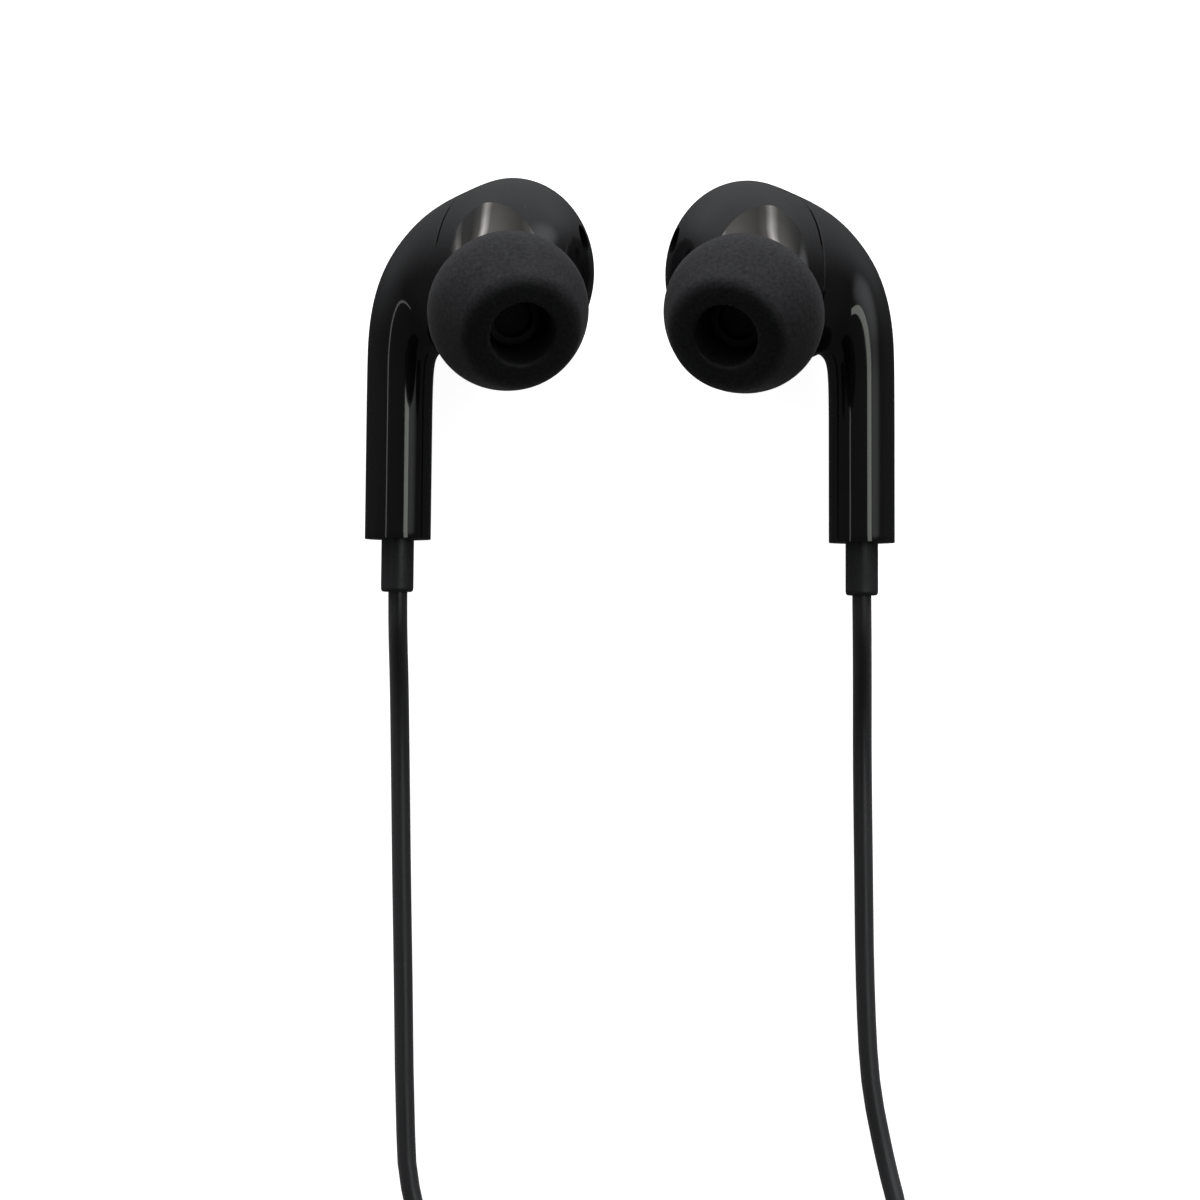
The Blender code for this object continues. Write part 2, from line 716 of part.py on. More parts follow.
def make_contacts(frame, core, gap):
    """The sleeve, two rings and the tip, on one insulating core that parts them."""
    sleeve_end, ring_2_end, ring_1_end, length = 5.4 * MM, 7.9 * MM, 10.2 * MM, 14.0 * MM
    spacer = 0.6 * MM
    collar_radius, collar_top, foot = 2.2 * MM, 0.6 * MM, -4.6 * MM
    bore = core + gap
    sleeve = [
        (JACK_RADIUS, sleeve_end),
        (JACK_RADIUS, collar_top),
        (collar_radius, collar_top),
        (collar_radius, foot),
        (bore, foot),
        (bore, sleeve_end),
    ]
    ring_2 = ring_outline(bore, JACK_RADIUS, sleeve_end + spacer, ring_2_end)
    ring_1 = ring_outline(bore, JACK_RADIUS, ring_2_end + spacer, ring_1_end)
    turned("plug_sleeve", sleeve, gold(), frame, closed=True, steps=20)
    turned("plug_ring_2", ring_2, gold(), frame, closed=True, steps=20)
    turned("plug_ring_1", ring_1, gold(), frame, closed=True, steps=20)
    tip_start = ring_1_end + spacer
    core_end = tip_start + 1.1 * MM
    tip = [
        (0.0, length),
        (0.7 * MM, length - 0.2 * MM),
        (JACK_RADIUS, length - 1.6 * MM),
        (JACK_RADIUS - 0.5 * MM, length - 2.4 * MM),
        (JACK_RADIUS, length - 3.0 * MM),
        (JACK_RADIUS, tip_start),
        (bore, tip_start),
        (bore, core_end + gap),
        (0.0, core_end + gap),
    ]
    turned("plug_tip", tip, gold(), frame, steps=20)
    flange = JACK_RADIUS - 0.05 * MM
    insulator = [(0.0, core_end), (core, core_end)]
    for end in (ring_1_end, ring_2_end, sleeve_end):
        top, bottom = end + spacer - gap, end + gap
        insulator += [(core, top), (flange, top), (flange, bottom), (core, bottom)]
    insulator += [(core, foot + 2 * gap), (0.0, foot + 2 * gap)]
    turned("plug_insulator", insulator, insulator_black(), frame, steps=20)


def make_plug():
    """A straight 3.5 mm plug: four contacts on an insulating core, in a moulded grip."""
    frame = axis_frame((PLUG_X, PLUG_SHOULDER_Y, GRIP_RADIUS), (0.0, 1.0, 0.0))
    grip_end = -15.0 * MM
    grip = [
        (2.3 * MM, 0.0),
        (GRIP_RADIUS - 0.3 * MM, 0.0),
        (GRIP_RADIUS, -0.3 * MM),
        (GRIP_RADIUS, grip_end + 1.0 * MM),
        (GRIP_RADIUS - 0.6 * MM, grip_end),
        (1.9 * MM, grip_end),
        (1.9 * MM, -6.0 * MM),
        (2.3 * MM, -5.0 * MM),
    ]
    turned("plug_grip", grip, matt_black(), frame, closed=True, steps=20)
    make_contacts(frame, core=0.9 * MM, gap=0.1 * MM)
    relief_root, relief_end = -7.0 * MM, -21.0 * MM
    relief = [
        (0.0, relief_root),
        (1.6 * MM, relief_root),
        (1.6 * MM, grip_end - 0.4 * MM),
        (1.25 * MM, relief_end),
        (0.0, relief_end),
    ]
    turned("plug_relief", relief, matt_black(), frame, steps=20)


def main():
    clear_scene()
    ears = earpiece_frames()
    make_shells(ears)
    make_nozzle(ears)
    make_ear_tip(ears)
    make_driver(ears)
    make_vent_mesh(ears)
    make_stem_end(ears)
    make_cords()
    make_coil()
    make_ties()
    make_split()
    make_remote()
    make_plug()


main()
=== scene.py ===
"""Wired in-ear earphones, laid out flat: two glossy black buds on straight stems, with soft
silicone tips, their cables, a button remote, a split and a jack plug with the cord wound up.

Metres, +Z up off the table. The pieces are made in the order they are put together.
"""

import json
import math

import bmesh
import bpy
from mathutils import Matrix, Vector

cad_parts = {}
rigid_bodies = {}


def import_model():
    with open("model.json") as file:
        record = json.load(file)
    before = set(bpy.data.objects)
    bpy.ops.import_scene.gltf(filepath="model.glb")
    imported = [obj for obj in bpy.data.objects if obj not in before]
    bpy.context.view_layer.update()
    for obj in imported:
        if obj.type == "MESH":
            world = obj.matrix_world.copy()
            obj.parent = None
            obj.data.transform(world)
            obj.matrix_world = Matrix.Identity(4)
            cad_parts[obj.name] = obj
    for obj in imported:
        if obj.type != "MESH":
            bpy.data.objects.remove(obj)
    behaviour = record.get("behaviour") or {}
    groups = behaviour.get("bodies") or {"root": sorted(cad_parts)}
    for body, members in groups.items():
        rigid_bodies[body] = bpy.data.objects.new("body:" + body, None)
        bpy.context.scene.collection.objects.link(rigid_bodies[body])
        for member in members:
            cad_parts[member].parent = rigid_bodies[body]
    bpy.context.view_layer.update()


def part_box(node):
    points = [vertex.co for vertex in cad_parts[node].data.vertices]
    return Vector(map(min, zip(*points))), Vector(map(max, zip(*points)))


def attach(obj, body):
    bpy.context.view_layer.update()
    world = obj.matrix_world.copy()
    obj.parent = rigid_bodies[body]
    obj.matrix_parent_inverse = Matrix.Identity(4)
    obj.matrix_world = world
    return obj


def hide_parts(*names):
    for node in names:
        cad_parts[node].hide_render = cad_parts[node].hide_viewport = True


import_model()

MM = 0.001

# ---------------------------------------------------------------------------
# The two earpieces' places. Each bud is drawn once, in its own frame: x towards the
# other ear, y up the stem, z off the table. The right one is the left one mirrored, lying
# turned a little further over.
# ---------------------------------------------------------------------------

STEM_X = 19.2 * MM
STEM_AXIS_Z = 3.6 * MM


def lying(x, y, z, turns):
    angles = [Matrix.Rotation(math.radians(turn), 4, axis) for turn, axis in zip(turns, "XYZ")]
    return Matrix.Translation((x, y, z)) @ angles[2] @ angles[1] @ angles[0]


LEFT_EAR = lying(-STEM_X, 0.0, STEM_AXIS_Z, (-1.5, 0.0, -0.7))
RIGHT_EAR = lying(STEM_X + 0.1 * MM, -0.3 * MM, STEM_AXIS_Z + 0.45 * MM, (-1.5, -4.2, 0.1))
RIGHT_EAR = RIGHT_EAR @ Matrix.Diagonal((-1.0, 1.0, 1.0, 1.0))


def copied(piece):
    """A copy with its own mesh."""
    other = piece.copy()
    other.data = piece.data.copy()
    bpy.context.scene.collection.objects.link(other)
    return other


def finish_piece(piece, body, nodes, finish=None):
    if finish:
        piece.data.materials.append(finish)
    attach(piece, body)
    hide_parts(*nodes)


def put_in_both_ears(piece, nodes, finish=None, bodies=("root", "root")):
    """Moves the piece into the left ear and a mirrored copy into the right."""
    base = piece.name
    other = copied(piece)
    for made, side, place, body in (
        (piece, "left", LEFT_EAR, bodies[0]),
        (other, "right", RIGHT_EAR, bodies[1]),
    ):
        made.name = f"{side}_{base}_finished"
        made.data.transform(place)
        if place.determinant() < 0:
            made.data.flip_normals()
        finish_piece(made, body, [f"{side}_{node}" for node in nodes], finish)
    return piece, other


# ---------------------------------------------------------------------------
# Bud shells. Each bud is two injection-moulded ABS shells with a mirror polish: the back one
# runs on down as the stem, the front one carries the nozzle. They meet at a glued seam, and
# the front one has an oval vent at its inner edge.
# ---------------------------------------------------------------------------

STEM_RADIUS = 2.75 * MM
STEM_END_Y = -12.65 * MM
WALL = 0.8 * MM
SEAM_GAP = 0.11 * MM
POD_AXIS = Vector((0.755, 0.0, 0.656)).normalized()
POD_WIDTH_AXIS = Vector((-POD_AXIS.z, 0.0, POD_AXIS.x))
POD_CENTRE = Vector((9.35, 9.4, 3.8)) * MM
POD_SEMI_AXES = Vector((7.1, 6.7, 8.2)) * MM
SEAM_FROM_CENTRE = -3.5 * MM
CAGE_SIDES = 12
CAGE_SHRINK = 0.9553  # a 12-sided cage ring shrinks by this when it is subdivided


def noise_height(tree, scale, detail=2.0):
    """A noise on the object's own coordinates."""
    place = tree.nodes.new("ShaderNodeTexCoord")
    noise = tree.nodes.new("ShaderNodeTexNoise")
    noise.inputs["Scale"].default_value = scale
    noise.inputs["Detail"].default_value = detail
    tree.links.new(place.outputs["Object"], noise.inputs["Vector"])
    return noise


def new_group(name, inputs, outputs):
    group = bpy.data.node_groups.new(name, "ShaderNodeTree")
    for label, value in inputs:
        socket = group.interface.new_socket(label, in_out="INPUT", socket_type="NodeSocketFloat")
        socket.default_value = value
    for label, kind in outputs:
        group.interface.new_socket(label, in_out="OUTPUT", socket_type=kind)
    entry = group.nodes.new("NodeGroupInput")
    leave = group.nodes.new("NodeGroupOutput")
    return group, entry, leave


def operation_node(tree, kind, operation, values):
    """A maths node whose inputs are linked or, where a plain value is given, set."""
    node = tree.nodes.new(kind)
    node.operation = operation
    for socket, value in zip(node.inputs, values):
        if isinstance(value, bpy.types.NodeSocket):
            tree.links.new(value, socket)
        else:
            socket.default_value = value
    return node.outputs


def math_node(tree, operation, *values):
    return operation_node(tree, "ShaderNodeMath", operation, values)[0]


def make_handling_group():
    """Faint finger marks and wiping haze: a roughness that drifts between two values."""
    group, entry, leave = new_group(
        "handling_marks",
        [("Smooth", 0.08), ("Hazy", 0.2), ("Patch Scale", 160.0), ("Streak Scale", 900.0)],
        [("Roughness", "NodeSocketFloat")],
    )
    place = group.nodes.new("ShaderNodeTexCoord")
    patch = group.nodes.new("ShaderNodeTexNoise")
    patch.inputs["Detail"].default_value = 3.0
    streak = group.nodes.new("ShaderNodeTexNoise")
    streak.inputs["Detail"].default_value = 5.0
    stretch = group.nodes.new("ShaderNodeMapping")
    stretch.inputs["Scale"].default_value = (1.0, 0.25, 1.0)
    stretch.inputs["Rotation"].default_value = (0.3, 0.0, 0.6)
    group.links.new(place.outputs["Object"], patch.inputs["Vector"])
    group.links.new(place.outputs["Object"], stretch.inputs["Vector"])
    group.links.new(stretch.outputs[0], streak.inputs["Vector"])
    group.links.new(entry.outputs["Patch Scale"], patch.inputs["Scale"])
    group.links.new(entry.outputs["Streak Scale"], streak.inputs["Scale"])
    both = math_node(group, "MULTIPLY", patch.outputs[0], streak.outputs[0])
    ramp = group.nodes.new("ShaderNodeMapRange")
    ramp.inputs["From Min"].default_value = 0.18
    ramp.inputs["From Max"].default_value = 0.42
    group.links.new(both, ramp.inputs["Value"])
    group.links.new(entry.outputs["Smooth"], ramp.inputs["To Min"])
    group.links.new(entry.outputs["Hazy"], ramp.inputs["To Max"])
    group.links.new(ramp.outputs[0], leave.inputs["Roughness"])
    return group


def make_speck_group():
    """Fine dust or pigment specks, as a mask that is 1 on a speck."""
    group, entry, leave = new_group(
        "fine_specks",
        [("Scale", 4000.0), ("Size", 0.18), ("Share", 0.35)],
        [("Mask", "NodeSocketFloat")],
    )
    place = group.nodes.new("ShaderNodeTexCoord")
    cells = group.nodes.new("ShaderNodeTexVoronoi")
    group.links.new(place.outputs["Object"], cells.inputs["Vector"])
    group.links.new(entry.outputs["Scale"], cells.inputs["Scale"])
    near = math_node(group, "LESS_THAN", cells.outputs["Distance"], entry.outputs["Size"])
    parted = group.nodes.new("ShaderNodeSeparateColor")
    group.links.new(cells.outputs["Color"], parted.inputs[0])
    chosen = math_node(group, "LESS_THAN", parted.outputs[0], entry.outputs["Share"])
    both = math_node(group, "MULTIPLY", near, chosen)
    group.links.new(both, leave.inputs["Mask"])
    return group


HANDLING = make_handling_group()
SPECKS = make_speck_group()


def new_finish(name, colour, metallic=0.0):
    finish = bpy.data.materials.new(name)
    finish.use_nodes = True
    finish.diffuse_color = (*colour, 1.0)
    shader = finish.node_tree.nodes["Principled BSDF"]
    shader.inputs["Base Color"].default_value = (*colour, 1.0)
    shader.inputs["Metallic"].default_value = metallic
    return finish, finish.node_tree, shader


def with_group(tree, group, **values):
    node = tree.nodes.new("ShaderNodeGroup")
    node.node_tree = group
    for label, value in values.items():
        node.inputs[label.replace("_", " ")].default_value = value
    return node


def add_wear(tree, shader, **values):
    marks = with_group(tree, HANDLING, **values)
    tree.links.new(marks.outputs[0], shader.inputs["Roughness"])


def add_grain(tree, shader, depth, scale, detail=2.0):
    """A fine unevenness of the surface, this deep."""
    bump = tree.nodes.new("ShaderNodeBump")
    bump.inputs["Distance"].default_value = depth
    tree.links.new(noise_height(tree, scale, detail).outputs[0], bump.inputs["Height"])
    tree.links.new(bump.outputs[0], shader.inputs["Normal"])


def colour_by_mask(tree, shader, mask, plain, marked):
    mix = tree.nodes.new("ShaderNodeMix")
    mix.data_type = "RGBA"
    mix.inputs[6].default_value = (*plain, 1.0)
    mix.inputs[7].default_value = (*marked, 1.0)
    tree.links.new(mask, mix.inputs[0])
    tree.links.new(mix.outputs[2], shader.inputs["Base Color"])


def add_specks(tree, shader, plain, marked, **values):
    specks = with_group(tree, SPECKS, **values)
    colour_by_mask(tree, shader, specks.outputs[0], plain, marked)


def make_gloss_plastic():
    """Piano-black ABS: very dark, a clear coat's shine, a trace of mould flow and dust."""
    finish, tree, shader = new_finish("gloss_black_plastic", (0.004, 0.004, 0.0045))
    shader.inputs["Coat Weight"].default_value = 0.25
    shader.inputs["Coat Roughness"].default_value = 0.06
    add_wear(tree, shader, Smooth=0.05, Hazy=0.13)
    plain, specked = (0.004, 0.004, 0.0045), (0.05, 0.05, 0.05)
    add_specks(tree, shader, plain, specked, Scale=2200.0, Size=0.08, Share=0.02)
    add_grain(tree, shader, 0.004 * MM, 450.0)
    return finish


def shell_stations():
    """Down the shell: (centre, turn from stem to bud section, half height, half width)."""
    stations = [
        (Vector((0.0, STEM_END_Y, 0.0)), 0.0, STEM_RADIUS, STEM_RADIUS),
        (Vector((0.0, -4.0, 0.0)) * MM, 0.0, STEM_RADIUS, STEM_RADIUS),
        (Vector((0.0, 1.6, 0.0)) * MM, 0.0, STEM_RADIUS, STEM_RADIUS),
        (Vector((0.2, 4.25, 0.05)) * MM, 0.30, 3.22 * MM, 2.95 * MM),
        (Vector((1.25, 6.95, 0.0)) * MM, 0.62, 4.55 * MM, 3.4 * MM),
        (Vector((3.65, 8.85, 0.0)) * MM, 0.90, 6.35 * MM, 4.4 * MM),
    ]
    for along in (-3.3, 0.0, 3.4, 5.7, 6.75):
        inside = math.sqrt(1.0 - (along * MM / POD_SEMI_AXES.x) ** 2)
        centre = POD_CENTRE + along * MM * POD_AXIS
        stations.append((centre, 1.0, POD_SEMI_AXES.z * inside, POD_SEMI_AXES.y * inside))
    return stations


def section_turn(turn):
    """How a section stands: half height, half width and the way along the shell."""
    stem = Matrix(((-1.0, 0.0, 0.0), (0.0, 0.0, 1.0), (0.0, 1.0, 0.0))).transposed()
    pod = Matrix(((0.0, 1.0, 0.0), tuple(POD_WIDTH_AXIS), tuple(POD_AXIS))).transposed()
    return stem.to_quaternion().slerp(pod.to_quaternion(), turn)


def start_drawing(name):
    """An empty mesh, open for editing."""
    bpy.ops.object.select_all(action="DESELECT")
    bpy.ops.mesh.primitive_plane_add(size=MM)
    drawing = bpy.context.object
    drawing.name = name
    drawing.data.name = name
    bpy.ops.object.mode_set(mode="EDIT")
    bpy.ops.mesh.select_all(action="SELECT")
    return drawing


def choose(drawing, wanted, kind="verts"):
    """Selects the vertices, edges or faces that wanted picks, and nothing else."""
    mesh = bmesh.from_edit_mesh(drawing.data)
    bpy.ops.mesh.select_all(action="DESELECT")
    for item in getattr(mesh, kind):
        if wanted(item):
            item.select_set(True)
    mesh.select_flush_mode()
    bmesh.update_edit_mesh(drawing.data)


def move_chosen(drawing, place):
    """Moves, turns and sizes what is selected."""
    mesh = bmesh.from_edit_mesh(drawing.data)
    for vert in mesh.verts:
        if vert.select:
            vert.co = place @ vert.co
    bmesh.update_edit_mesh(drawing.data)


def make_active(piece):
    bpy.ops.object.select_all(action="DESELECT")
    piece.select_set(True)
    bpy.context.view_layer.objects.active = piece


def apply_all(drawing):
    make_active(drawing)
    for modifier in list(drawing.modifiers):
        bpy.ops.object.modifier_apply(modifier=modifier.name)


def draw_skin(name, levels):
    """The bud's outer skin: rings set along it, bridged and smoothed."""
    skin = start_drawing(name)
    bpy.ops.mesh.delete(type="VERT")
    stations = shell_stations()
    for centre, turn, half_height, half_width in stations:
        bpy.ops.mesh.primitive_circle_add(vertices=CAGE_SIDES, radius=1.0 / CAGE_SHRINK)
        size = Vector((half_height, half_width, 1.0))
        move_chosen(skin, Matrix.LocRotScale(centre, section_turn(turn), size))
    bpy.ops.mesh.select_mode(type="EDGE")
    for ring in range(len(stations) - 1):
        rings = (ring, ring + 1)
        choose(
            skin,
            lambda edge: edge.verts[0].index // CAGE_SIDES == edge.verts[1].index // CAGE_SIDES
            and edge.verts[0].index // CAGE_SIDES in rings,
            "edges",
        )
        bpy.ops.mesh.bridge_edge_loops()
    last = len(stations) - 1
    choose(skin, lambda edge: all(v.index // CAGE_SIDES == last for v in edge.verts), "edges")
    bpy.ops.mesh.edge_face_add()
    bpy.ops.mesh.select_mode(type="VERT")
    bpy.ops.mesh.select_all(action="SELECT")
    bpy.ops.mesh.normals_make_consistent(inside=False)
    bpy.ops.object.mode_set(mode="OBJECT")
    smooth = skin.modifiers.new("smooth", "SUBSURF")
    smooth.levels = levels
    smooth.render_levels = levels
    apply_all(skin)
    return skin


def pod_point(along, across=0.0, up=0.0):
    return POD_CENTRE + along * POD_AXIS + across * POD_WIDTH_AXIS + Vector((0.0, up, 0.0))


def round_edges(piece, width, segments, degrees):
    """Rounds every edge that turns by more than this."""
    rounding = piece.modifiers.new("rounding", "BEVEL")
    rounding.width = width
    rounding.segments = segments
    rounding.limit_method = "ANGLE"
    rounding.angle_limit = math.radians(degrees)
    apply_all(piece)


def draw_half_shell(name, keep_front):
    """One side of the seam, with its wall, and its rims just broken."""
    shell = draw_skin(name, 4)
    side = 1.0 if keep_front else -1.0
    bpy.ops.object.mode_set(mode="EDIT")
    bpy.ops.mesh.select_all(action="SELECT")
    bpy.ops.mesh.bisect(
        plane_co=pod_point(SEAM_FROM_CENTRE + side * SEAM_GAP / 2),
        plane_no=POD_AXIS * side,
        clear_inner=True,
    )
    bpy.ops.object.mode_set(mode="OBJECT")
    wall = shell.modifiers.new("wall", "SOLIDIFY")
    wall.thickness = WALL
    wall.offset = -1.0
    wall.use_even_offset = True
    round_edges(shell, 0.05 * MM, 3, 50.0)
    return shell


def smooth_by_angle(piece, degrees=35.0):
    make_active(piece)
    bpy.ops.object.shade_smooth_by_angle(angle=math.radians(degrees))


def cut_away(piece, cutter):
    knife = piece.modifiers.new("cut", "BOOLEAN")
    knife.operation = "DIFFERENCE"
    knife.object = cutter
    apply_all(piece)
    bpy.data.objects.remove(cutter, do_unlink=True)


VENT_AXIS = Vector((0.88, 0.315, 0.356)).normalized()
VENT_POINT = pod_point(6.25 * MM, -1.9 * MM, 2.8 * MM)
TIP_AXIS = Vector((0.25, -0.43, 0.868)).normalized()
TIP_BASE = Vector((8.55, 6.6, 11.2)) * MM
NOZZLE_FOOT = Vector((8.7, 9.6, 7.6)) * MM


def vent_frame(out):
    """A frame out of the vent's wall by this much, with its Y up the earpiece."""
    across = Vector((0.0, 1.0, 0.0)).cross(VENT_AXIS).normalized()
    up = VENT_AXIS.cross(across)
    turn = Matrix((across, up, VENT_AXIS)).transposed().to_4x4()
    return Matrix.Translation(VENT_POINT + out * VENT_AXIS) @ turn


def axis_frame(point, axis):
    return Matrix.Translation(point) @ axis.to_track_quat("Z", "Y").to_matrix().to_4x4()


def cutting_rod(place, radius, tall=1.0):
    bpy.ops.object.select_all(action="DESELECT")
    bpy.ops.mesh.primitive_cylinder_add(vertices=48, radius=radius, depth=5.0 * MM)
    rod = bpy.context.object
    rod.data.transform(place @ Matrix.Diagonal((1.0, tall, 1.0, 1.0)))
    return rod


gloss_plastic = make_gloss_plastic()

back_shell = draw_half_shell("back_shell", False)
front_shell = draw_half_shell("front_shell", True)
cut_away(front_shell, cutting_rod(axis_frame(NOZZLE_FOOT, TIP_BASE - NOZZLE_FOOT), 1.6 * MM))
cut_away(front_shell, cutting_rod(vent_frame(0.0), 0.75 * MM, tall=1.5))
for shell, node in ((back_shell, "back_shell"), (front_shell, "front_shell")):
    smooth_by_angle(shell)
    put_in_both_ears(shell, [node], gloss_plastic)

# ---------------------------------------------------------------------------
# Nozzle. A turned aluminium tube, anodised dark and polished, whose flared foot leans over to
# sit on the front shell. The ear tip's sleeve pushes onto its barrel.
# ---------------------------------------------------------------------------

NOZZLE_BORE_RADIUS = 1.6 * MM
NOZZLE_RADIUS = 2.3 * MM


def softened(corners, closed=False, steps=4):
    """An outline from (radius, height, rounding) corners, each rounded with a small curve."""
    outline = []
    count = len(corners)
    for i, (r, h, rounding) in enumerate(corners):
        here = Vector((r, h))
        ends = not closed and i in (0, count - 1)
        if rounding <= 0.0 or ends:
            outline.append(here)
            continue
        before = Vector(corners[i - 1][:2]) - here
        after = Vector(corners[(i + 1) % count][:2]) - here
        start = here + before.normalized() * min(rounding, before.length * 0.48)
        end = here + after.normalized() * min(rounding, after.length * 0.48)
        for k in range(steps + 1):
            t = k / steps
            outline.append(start * (1 - t) ** 2 + here * 2 * t * (1 - t) + end * t**2)
    return outline


def turned(name, corners, place, closed=False, sides=72, steps=4):
    """A lathe-turned piece: its outline is drawn point by point and spun about its axis."""
    outline = softened(corners, closed, steps)
    piece = start_drawing(name)
    bpy.ops.mesh.merge(type="CENTER")
    bpy.ops.transform.translate(value=(outline[0].x, 0.0, outline[0].y))
    for last, point in zip(outline, outline[1:]):
        step = point - last
        bpy.ops.mesh.extrude_vertices_move(
            TRANSFORM_OT_translate={"value": (step.x, 0.0, step.y)}
        )
    if closed:
        ends = (0, len(outline) - 1)
        choose(piece, lambda vert: vert.index in ends)
        bpy.ops.mesh.edge_face_add()
    bpy.ops.mesh.select_all(action="SELECT")
    bpy.ops.mesh.spin(steps=sides, angle=math.tau, center=(0, 0, 0), axis=(0, 0, 1))
    bpy.ops.mesh.select_all(action="SELECT")
    bpy.ops.mesh.remove_doubles(threshold=1e-6)
    bpy.ops.mesh.select_all(action="SELECT")
    bpy.ops.mesh.normals_make_consistent(inside=False)
    bpy.ops.object.mode_set(mode="OBJECT")
    piece.data.transform(place)
    smooth_by_angle(piece)
    return piece


def tip_frame():
    return axis_frame(TIP_BASE, TIP_AXIS)


COLLAR_TOP = 0.9 * MM

# Painted reflections round the collar, standing in for the glints of the room's lights in its
# polish: where across it, and how bright.
COLLAR_PAINTED_GLINTS = [
    (0.02, 0.1),
    (0.06, 0.75),
    (0.1, 0.08),
    (0.18, 0.05),
    (0.25, 0.13),
    (0.29, 0.75),
    (0.34, 0.17),
    (0.5, 0.1),
    (0.6, 0.07),
    (0.67, 0.12),
    (0.72, 0.6),
    (0.78, 0.15),
    (0.95, 0.1),
]


def vector_node(tree, operation, first, second):
    return operation_node(tree, "ShaderNodeVectorMath", operation, (first, second))


def make_gunmetal_with_painted_light(base, axis):
    """Dark anodised aluminium, polished round its axis, so that it shines in streaks along it; the
    streaky glints across the collar are also painted reflections in its colour. The barrel beyond
    the collar, which the ear tip hides, is painted black and matt as painted shade."""
    finish, tree, shader = new_finish("dark_anodised", (0.2, 0.185, 0.17), 1.0)
    geometry = tree.nodes.new("ShaderNodeNewGeometry")
    around = vector_node(tree, "CROSS_PRODUCT", axis, geometry.outputs["Normal"])
    tree.links.new(around[0], shader.inputs["Tangent"])
    shader.inputs["Anisotropic"].default_value = 0.85
    marks = with_group(tree, HANDLING, Smooth=0.26, Hazy=0.36)
    from_base = vector_node(tree, "SUBTRACT", geometry.outputs["Position"], base)
    along = vector_node(tree, "DOT_PRODUCT", from_base[0], axis)
    sideways = Vector((0.0, 1.0, 0.0)).cross(axis).normalized()
    facing = vector_node(tree, "DOT_PRODUCT", geometry.outputs["Normal"], sideways)
    across = math_node(tree, "MULTIPLY_ADD", facing["Value"], 0.5, 0.5)
    # Painted reflections: the collar's colour is a ramp of grey streaks set by which way its
    # surface faces.
    painted_glints = tree.nodes.new("ShaderNodeValToRGB")
    tree.links.new(across, painted_glints.inputs[0])
    for stop, grey in COLLAR_PAINTED_GLINTS:
        point = painted_glints.color_ramp.elements.new(stop)
        point.color = (grey, grey * 0.95, grey * 0.89, 1.0)
    # Painted shade: the barrel inside the ear tip's hole is coloured near black, made matt and not
    # metal.
    barrel_in_painted_shade = math_node(tree, "GREATER_THAN", along["Value"], COLLAR_TOP)
    colour_by_mask(tree, shader, barrel_in_painted_shade, (0.2, 0.185, 0.17), (0.006, 0.006, 0.006))
    mix = shader.inputs["Base Color"].links[0].from_node
    tree.links.new(painted_glints.outputs[0], mix.inputs[6])
    metal = math_node(tree, "SUBTRACT", 1.0, barrel_in_painted_shade)
    tree.links.new(metal, shader.inputs["Metallic"])
    rough = math_node(tree, "MAXIMUM", marks.outputs[0], barrel_in_painted_shade)
    tree.links.new(rough, shader.inputs["Roughness"])
    return finish


FOOT_HEIGHT = -4.6 * MM
ROOT_HEIGHT = FOOT_HEIGHT - 2.2 * MM
BARREL_END = 4.4 * MM
nozzle = turned(
    "nozzle",
    [
        (NOZZLE_BORE_RADIUS, BARREL_END, 0.1 * MM),
        (NOZZLE_RADIUS, BARREL_END, 0.2 * MM),
        (NOZZLE_RADIUS, 0.95 * MM, 0.05 * MM),
        (2.92 * MM, COLLAR_TOP, 0.12 * MM),
        (2.95 * MM, 0.0, 0.4 * MM),
        (3.3 * MM, -1.1 * MM, 0.6 * MM),
        (4.6 * MM, -2.6 * MM, 0.8 * MM),
        (4.8 * MM, FOOT_HEIGHT, 0.8 * MM),
        (4.6 * MM, ROOT_HEIGHT, 0.0),
        (NOZZLE_BORE_RADIUS, ROOT_HEIGHT, 0.0),
        (NOZZLE_BORE_RADIUS, -1.5 * MM, 0.0),
        (NOZZLE_BORE_RADIUS, 0.0, 0.0),
    ],
    Matrix.Identity(4),
    closed=True,
    sides=96,
)
lean = tip_frame().to_3x3().inverted() @ (NOZZLE_FOOT - TIP_BASE - FOOT_HEIGHT * TIP_AXIS)
lean.z = 0.0
for vert in nozzle.data.vertices:
    vert.co += lean * max(0.0, vert.co.z / FOOT_HEIGHT)
nozzle.data.transform(tip_frame())
solid_bud = draw_skin("solid_bud", 3)
bpy.ops.object.mode_set(mode="EDIT")
choose(solid_bud, lambda edge: edge.is_boundary, "edges")
bpy.ops.mesh.edge_face_add()
bpy.ops.object.mode_set(mode="OBJECT")
cut_away(nozzle, solid_bud)
smooth_by_angle(nozzle, 30.0)
nozzles = put_in_both_ears(nozzle, ["nozzle"])
for piece, place in zip(nozzles, (LEFT_EAR, RIGHT_EAR)):
    piece.data.materials.append(make_gunmetal_with_painted_light(place @ TIP_BASE, place.to_3x3() @ TIP_AXIS))

# ---------------------------------------------------------------------------
# Fine meshes. A punched disc of blackened steel keeps wax out of the nozzle, and a smaller
# oval one lies behind the vent.
# ---------------------------------------------------------------------------


def make_mesh_steel():
    finish, tree, shader = new_finish("blackened_mesh", (0.03, 0.03, 0.032), 0.8)
    add_wear(tree, shader, Smooth=0.35, Hazy=0.55)
    return finish


